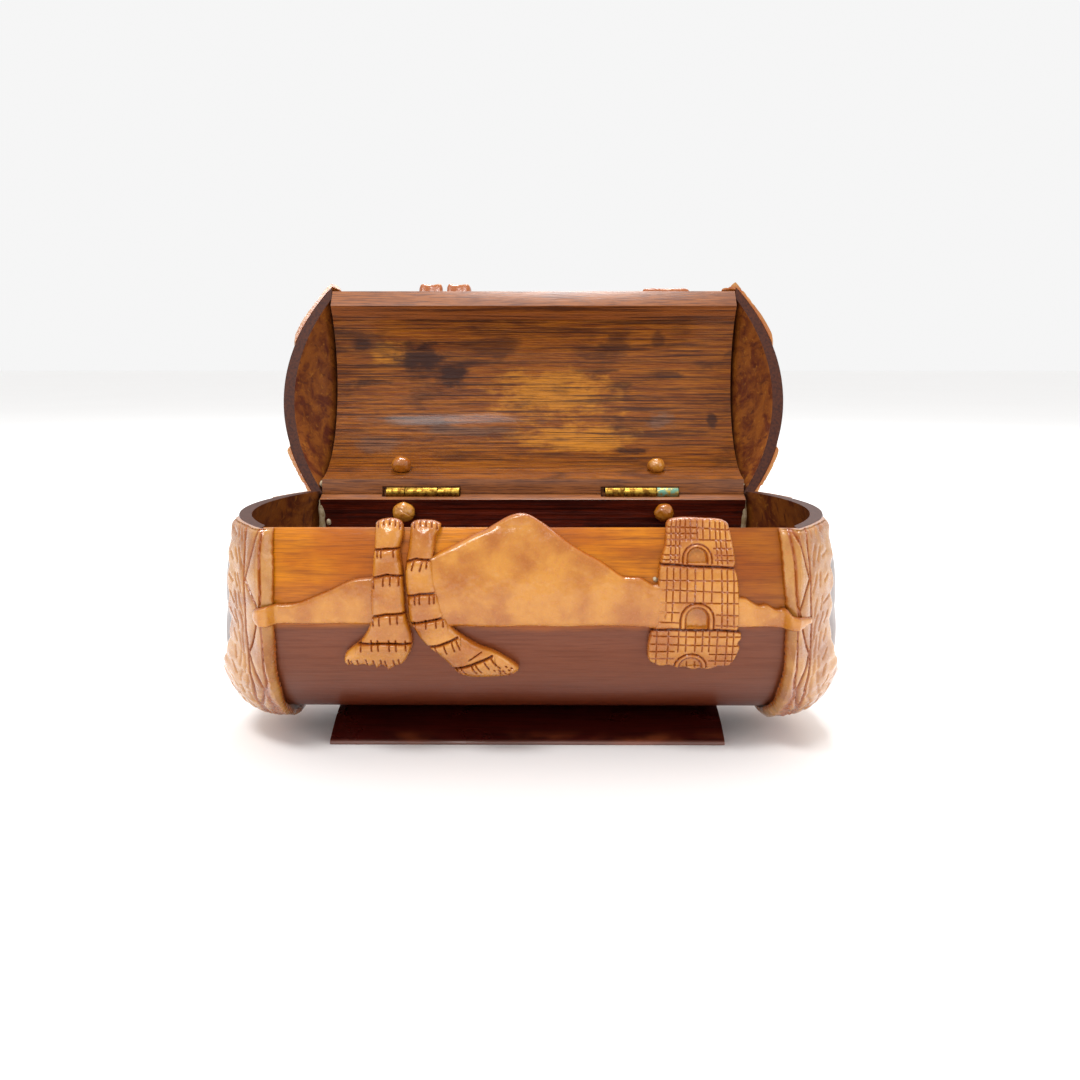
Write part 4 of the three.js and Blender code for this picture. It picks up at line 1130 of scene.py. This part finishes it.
def tower_shape(x, h, from_edge):
    """Tiers that step out slightly, raised arch frames and sunk doorways."""
    total = 0.25 * np.exp(-(((h - 11.5) / 2.4) ** 2)) - 0.2 * np.exp(-(((h - 7.4) / 1.2) ** 2))
    total = total + 0.2 * np.exp(-(((h + 7.4) / 1.6) ** 2))
    total = total - 0.25 * np.exp(-(((h + 10.6) / 1.0) ** 2))
    points = np.column_stack([x, h])
    for door in ARCHES:
        frame_line = arch(door["centre"], (door["half"] + door["recess"]) / 2,
                          (door["top"] + door["inner"]) / 2, door["foot"], 13)
        total = total + 0.5 * np.exp(-((line_distance(points, [frame_line]) / 0.55) ** 2))
        opening = arch(door["centre"], door["recess"], door["inner"], door["foot"] + 0.2)
        within = inside_of(points, np.array(opening))
        near = line_distance(points, [opening])
        total = total - door["sunk"] * within * np.clip(near / 0.5, 0, 1)
    return total


LID_TRUNK_LEFT = [
    (-42.1, 0), (-38, -0.1), (-33.9, 0), (-34.6, 6), (-36, 12), (-38.6, 19), (-40.4, 25.4),
    (-44.6, 26), (-45, 20), (-44.2, 13), (-43, 6),
]
LID_TRUNK_RIGHT = [
    (-32, 0), (-28, -0.1), (-23.8, 0), (-22.6, 6), (-21.8, 12), (-20.6, 19), (-20.2, 25.6),
    (-24.6, 26), (-27.4, 20), (-29.6, 13), (-31.2, 6),
]
LID_TOWER = [
    (40.9, 0), (49, -0.1), (57, 0), (57.2, 3), (56.8, 8), (54.6, 13.2), (50.6, 17.4), (49, 18.6),
    (47.4, 17.4), (43.6, 13.2), (41.3, 8), (40.8, 3),
]
CROWN_HEIGHT = 42.4  # round the lid, from the relief's level edge to the crown's middle
CROWN_LENGTH = 12.0
CROWN_FRONDS = 7


def bark_rings(left, right, heights):
    """Grooves across a trunk, bowed towards its crown, with its cuts hung under each."""
    lines = []
    cuts = []
    for t in heights:
        a = float(np.interp(t, *left))
        b = float(np.interp(t, *right))
        lines.append([(a, t - 0.4), (0.5 * (a + b), t + 0.5), (b, t - 0.4)])
        cuts += [[(x, t), (x, t - 2)] for x in np.linspace(a + 1.2, b - 1.2, 4)]
    return lines, cuts


def crown(name, centre):
    """A palm's crown: pointed fronds with a midrib and slanting leaflets."""
    outline = []
    ribs = []
    leaflets = []
    for k in range(CROWN_FRONDS):
        turn = 2 * math.pi * k / CROWN_FRONDS + math.pi / 2

        def at(distance, aside):
            bend = turn + aside
            return (centre + distance * math.cos(bend), CROWN_HEIGHT + distance * math.sin(bend))

        outline += [at(3.6, -0.45), at(7.5, -0.27), at(10.2, -0.13), at(CROWN_LENGTH, 0.02),
                    at(10, 0.15), at(7, 0.28)]
        ribs.append([at(2, 0), at(6, 0.01), at(CROWN_LENGTH - 0.8, 0.02)])
        for distance in (4.4, 6, 7.6, 9.2):
            leaflets.append([at(distance, 0), at(distance + 1.3, 0.9 / distance)])
            leaflets.append([at(distance, 0), at(distance + 1.3, -0.9 / distance)])
    relief(name + "_visual", name, "lid", outline, lid_wall, 1.6, 0.9,
           cuts=[(ribs, 0.24, 0.5, 0.9), (leaflets, 0.18, 0.4, 0.8)])


LEFT_RINGS = bark_rings(([0, 12, 26], [-42.1, -44, -44.8]), ([0, 12, 26], [-33.9, -36, -40.2]),
                        (4.2, 10, 16, 21.5))
RIGHT_RINGS = bark_rings(([0, 12, 26], [-32, -29.8, -24.8]), ([0, 12, 26], [-23.8, -21.8, -20]),
                         (4.2, 10, 16, 21.5))
DOME_CUTS = [
    *[[(x, 0.6), (49 + (x - 49) * 0.8, 9), (49 + (x - 49) * 0.3, 16)]
      for x in (42.6, 44.8, 47, 49, 51, 53.2, 55.4)],
    *[[(49 - half, t), (49, t + 0.8), (49 + half, t)]
      for t, half in ((2.6, 7.6), (5.6, 7.4), (8.6, 6.6), (11.6, 5), (14.4, 2.8))],
]


# ------------------------------------------------------------------ beads, glue


def bead(node, body, x, radius, angle, tilt, seed):
    """A pressed ball of putty with a shallow crack, flat where it meets the wall."""
    name = node + "_visual"
    bm = bmesh.new()
    bmesh.ops.create_icosphere(bm, subdivisions=5, radius=1.0)
    unit = np.array([v.co for v in bm.verts])
    faces = [tuple(v.index for v in f.verts) for f in bm.faces]
    bm.free()
    lumps = np.array([noise.noise(Vector(p) * 1.3 + Vector((seed, 0, 0))) for p in unit])
    fine = np.array([noise.noise(Vector(p) * 4 + Vector((0, seed, 0))) for p in unit])
    crack_line = unit @ np.array([0.55, 0.25, 0.8]) - 0.12 + 0.1 * fine
    crack = np.exp(-((crack_line / 0.05) ** 2)) * (unit[:, 1] < 0.2) * (unit[:, 0] > -0.75)
    size = radius * (1 + 0.09 * lumps + 0.025 * fine - 0.035 * crack)
    points = unit * size[:, None] * np.array([1, 0.9, 0.92])
    points[:, 1] -= radius * 0.55
    turn_tilt = np.array(Matrix.Rotation(math.radians(tilt), 3, "X"))
    turn_angle = np.array(Matrix.Rotation(math.radians(angle), 3, "X"))
    points = points @ turn_tilt.T
    points[:, 1] += INNER_RADIUS
    points = points @ turn_angle.T
    distance = np.hypot(points[:, 1], points[:, 2])
    wall = INNER_RADIUS - 0.12
    points[:, 1:] *= np.minimum(1, wall / distance)[:, None]
    points += np.array([x, 0, AXIS_Z])
    mesh = new_mesh(name, points, faces, body)
    mesh.shade_smooth()
    stain_and_shade = 0.45 * crack + 0.35 * smoothstep(lumps, 0.1, 0.5)
    add_piece(name, mesh, body, [putty], [node], stain_and_shade)


def glue_run(name, body, path, radii, seed):
    """A run of dried glue: a lumpy tube along a path, closed at its ends."""
    path = np.asarray(path, float)
    steps = 26
    sides = 12
    at = np.linspace(0, len(path) - 1, steps)
    centre = np.column_stack([np.interp(at, range(len(path)), path[:, k]) for k in range(3)])
    size = np.interp(at, range(len(path)), radii)
    size *= np.sqrt(np.sin(np.linspace(0.06, 0.94, steps) * np.pi))
    along = np.gradient(centre, axis=0)
    along /= np.linalg.norm(along, axis=1)[:, None]
    side = np.cross(along, [0.31, 0.2, 0.93])
    side /= np.linalg.norm(side, axis=1)[:, None]
    other = np.cross(along, side)
    rings = []
    for k in range(steps):
        for a in np.linspace(0, 2 * np.pi, sides, endpoint=False):
            lump = 1 + 0.3 * noise.noise(Vector((k * 0.35, math.cos(a), math.sin(a) + seed)))
            outwards = side[k] * math.cos(a) + other[k] * math.sin(a)
            rings.append(centre[k] + size[k] * lump * outwards)
    faces = grid_faces(steps, sides)
    faces.append(tuple(range(sides))[::-1])
    faces.append(tuple(range((steps - 1) * sides, steps * sides)))
    mesh = new_mesh(name, rings, faces, body)
    mesh.shade_smooth()
    add_piece(name, mesh, body, [glue], [])


# ------------------------------------------------------------------ the casket

SIDES = (("left", -1), ("right", 1))

refined("body_shell", "body", [body_skin, body_inside_painted_shade, cut_bamboo], 0.35, wall_side)
refined("lid_shell", "lid", [lid_skin, lid_inside, cut_bamboo], 0.35, wall_side)
refined("base_foot", "body", [foot_finish], 0.45)
for side_name, end in SIDES:
    for body in ("body", "lid"):
        coconut_end(end, body, f"{body}_end_{side_name}")
        putty_band(end, body, f"{body}_band_{side_name}")
        refined(f"{body}_leaf_{side_name}", body, [brass], 0.12)
        refined(f"{body}_nail_{side_name}", body, [steel], 0.08)
    refined(f"hinge_pin_{side_name}", "body", [brass], 0.12)

bead("body_bead_left", "body", -44.8, 3.9, 19.2, -12, 1)
bead("body_bead_right", "body", 45.6, 3.4, 19.2, -12, 5)
bead("lid_bead_left", "lid", -47.2, 3.5, 43.5, 0, 9)
bead("lid_bead_right", "lid", 44.0, 3.1, 43.5, 0, 14)

GROOVE = (0.33, 1.0, 0.9)
TICK = (0.2, 0.6, 0.8)

TRUNKS = (
    ("trunk_left", TRUNK_LEFT, LEFT_GROOVES, LEFT_TICKS),
    ("trunk_right", TRUNK_RIGHT, RIGHT_GROOVES, RIGHT_TICKS),
)
for name, outline, grooves, ticks in TRUNKS:
    relief(name + "_visual", name, "body", outline, front_wall, 3.5, 3.9, start=0.18, spacing=0.24,
           cuts=[(grooves, *GROOVE), (ticks, *TICK)], shape=bulges(grooves, 0.75))
relief("tower_visual", "tower", "body", TOWER, front_wall, 2.1, 1.1, spacing=0.24,
       cuts=[(TIER_EDGES, 0.4, 0.8, 1.0), (tower_cuts(), 0.17, 0.42, 0.7),
             (arch_lines(), 0.22, 0.5, 0.85)],
       shape=tower_shape)
LID_TRUNKS = (
    ("lid_trunk_left", LID_TRUNK_LEFT, LEFT_RINGS),
    ("lid_trunk_right", LID_TRUNK_RIGHT, RIGHT_RINGS),
)
for name, outline, (grooves, ticks) in LID_TRUNKS:
    relief(name + "_visual", name, "lid", outline, lid_wall, 5.5, 2.0, start=0.72,
           cuts=[(grooves, *GROOVE), (ticks, *TICK)], shape=bulges(grooves, 0.5))
relief("lid_tower_visual", "lid_tower_top", "lid", LID_TOWER, lid_wall, 4.3, 3.0, start=0.66,
       cuts=[(DOME_CUTS, 0.19, 0.42, 0.8)])
crown("palm_crown_left", -45.5)
crown("palm_crown_right", -20.5)
relief("mountain_visual", "mountain", "body", MOUNTAIN, front_wall, 1.9, 1.5, spacing=0.4)
relief("hill_left_visual", "hill_left", "body", HILL_LEFT, front_wall, 1.4, 1.2, spacing=0.36)
relief("hill_right_visual", "hill_right", "body", HILL_RIGHT, front_wall, 1.4, 1.2, spacing=0.36)

# Dried glue along the seams inside, and drops that ran.
glue_run("glue_lid_left", "lid", [(-73.6, 30.5, 6), (-73.9, 33.5, 0.8), (-73.4, 34, -0.6)],
         [0.6, 1.3, 0.9], 2)
glue_run("glue_lid_right", "lid", [(73.7, 31.5, 5), (74, 34, 0.6)], [0.5, 0.9], 6)
glue_run("glue_body_left", "body", [(-73.7, 34.6, -3), (-73.9, 36.2, -12), (-73.6, 36.6, -24)],
         [1.3, 1.1, 0.7], 3)
glue_run("glue_body_right", "body", [(73.8, 34.8, -3), (74, 36.4, -13), (73.8, 36.6, -22)],
         [1.0, 0.9, 0.6], 8)
glue_run("glue_drop", "body", [(-71.6, 36.2, -9.6), (-71.6, 36.5, -12.2)], [0.8, 1.0], 11)
glue_run("glue_chip", "body", [(34.4, -43.6, -13.4), (35.3, -43.7, -14.6)], [0.7, 0.5], 12)

# ------------------------------------------------------------------ camera, light, floor


AIM = (0, 0, 0.06)  # the middle of the casket, in metres
FLOOR_REACH = 6.0
CAMERA_PLACE = np.array([4.78, -326.5, 48.1])  # in the culm's frame
CAMERA_LENS = 34.92
CAMERA_DOWN = math.radians(10.24)
CAMERA_TURN = math.radians(0.35)
WORLD_STRENGTH = 0.92


def area_light(name, location, size, power):
    data = bpy.data.lights.new(name, "AREA")
    data.shape = "RECTANGLE"
    data.size, data.size_y = size
    data.energy = power
    lamp = bpy.data.objects.new(name, data)
    lamp.location = location
    aim = Vector(AIM) - Vector(location)
    lamp.rotation_euler = aim.to_track_quat("-Z", "Y").to_euler()
    bpy.context.scene.collection.objects.link(lamp)


def make_floor():
    mesh = bpy.data.meshes.new("floor")
    far = FLOOR_REACH
    corners = [(-far, -far, 0), (far, -far, 0), (far, far, 0), (-far, far, 0)]
    mesh.from_pydata(corners, [], [(0, 1, 2, 3)])
    culm = mesh.attributes.new("culm", "FLOAT_VECTOR", "POINT")
    culm.data.foreach_set("vector", (np.array(corners) / MM).ravel())
    mesh.materials.append(floor_material())
    floor = bpy.data.objects.new("floor", mesh)
    bpy.context.scene.collection.objects.link(floor)


camera_data = bpy.data.cameras.new("camera")
camera_data.lens = CAMERA_LENS
camera_data.sensor_width = 36.0
camera_data.clip_start = 0.01
camera = bpy.data.objects.new("camera", camera_data)
camera.location = (CAMERA_PLACE + OFFSET) * MM
camera.rotation_euler = (math.pi / 2 - CAMERA_DOWN, 0, CAMERA_TURN)
bpy.context.scene.collection.objects.link(camera)
bpy.context.scene.camera = camera
bpy.context.scene.view_settings.view_transform = "Standard"

make_floor()
area_light("key", (-0.25, -0.6, 1.0), (0.35, 0.2), 6.5)
area_light("top", (0.05, 0.3, 1.05), (0.3, 0.12), 7)
area_light("fill", (0.9, -0.5, 0.45), (0.5, 0.5), 1.8)
area_light("rear", (0.2, 1.0, 0.8), (1.0, 0.5), 4)

world = bpy.data.worlds.new("world")
bpy.context.scene.world = world
world.use_nodes = True
background = world.node_tree.nodes["Background"]
background.inputs["Color"].default_value = (1, 1, 1, 1)
background.inputs["Strength"].default_value = WORLD_STRENGTH
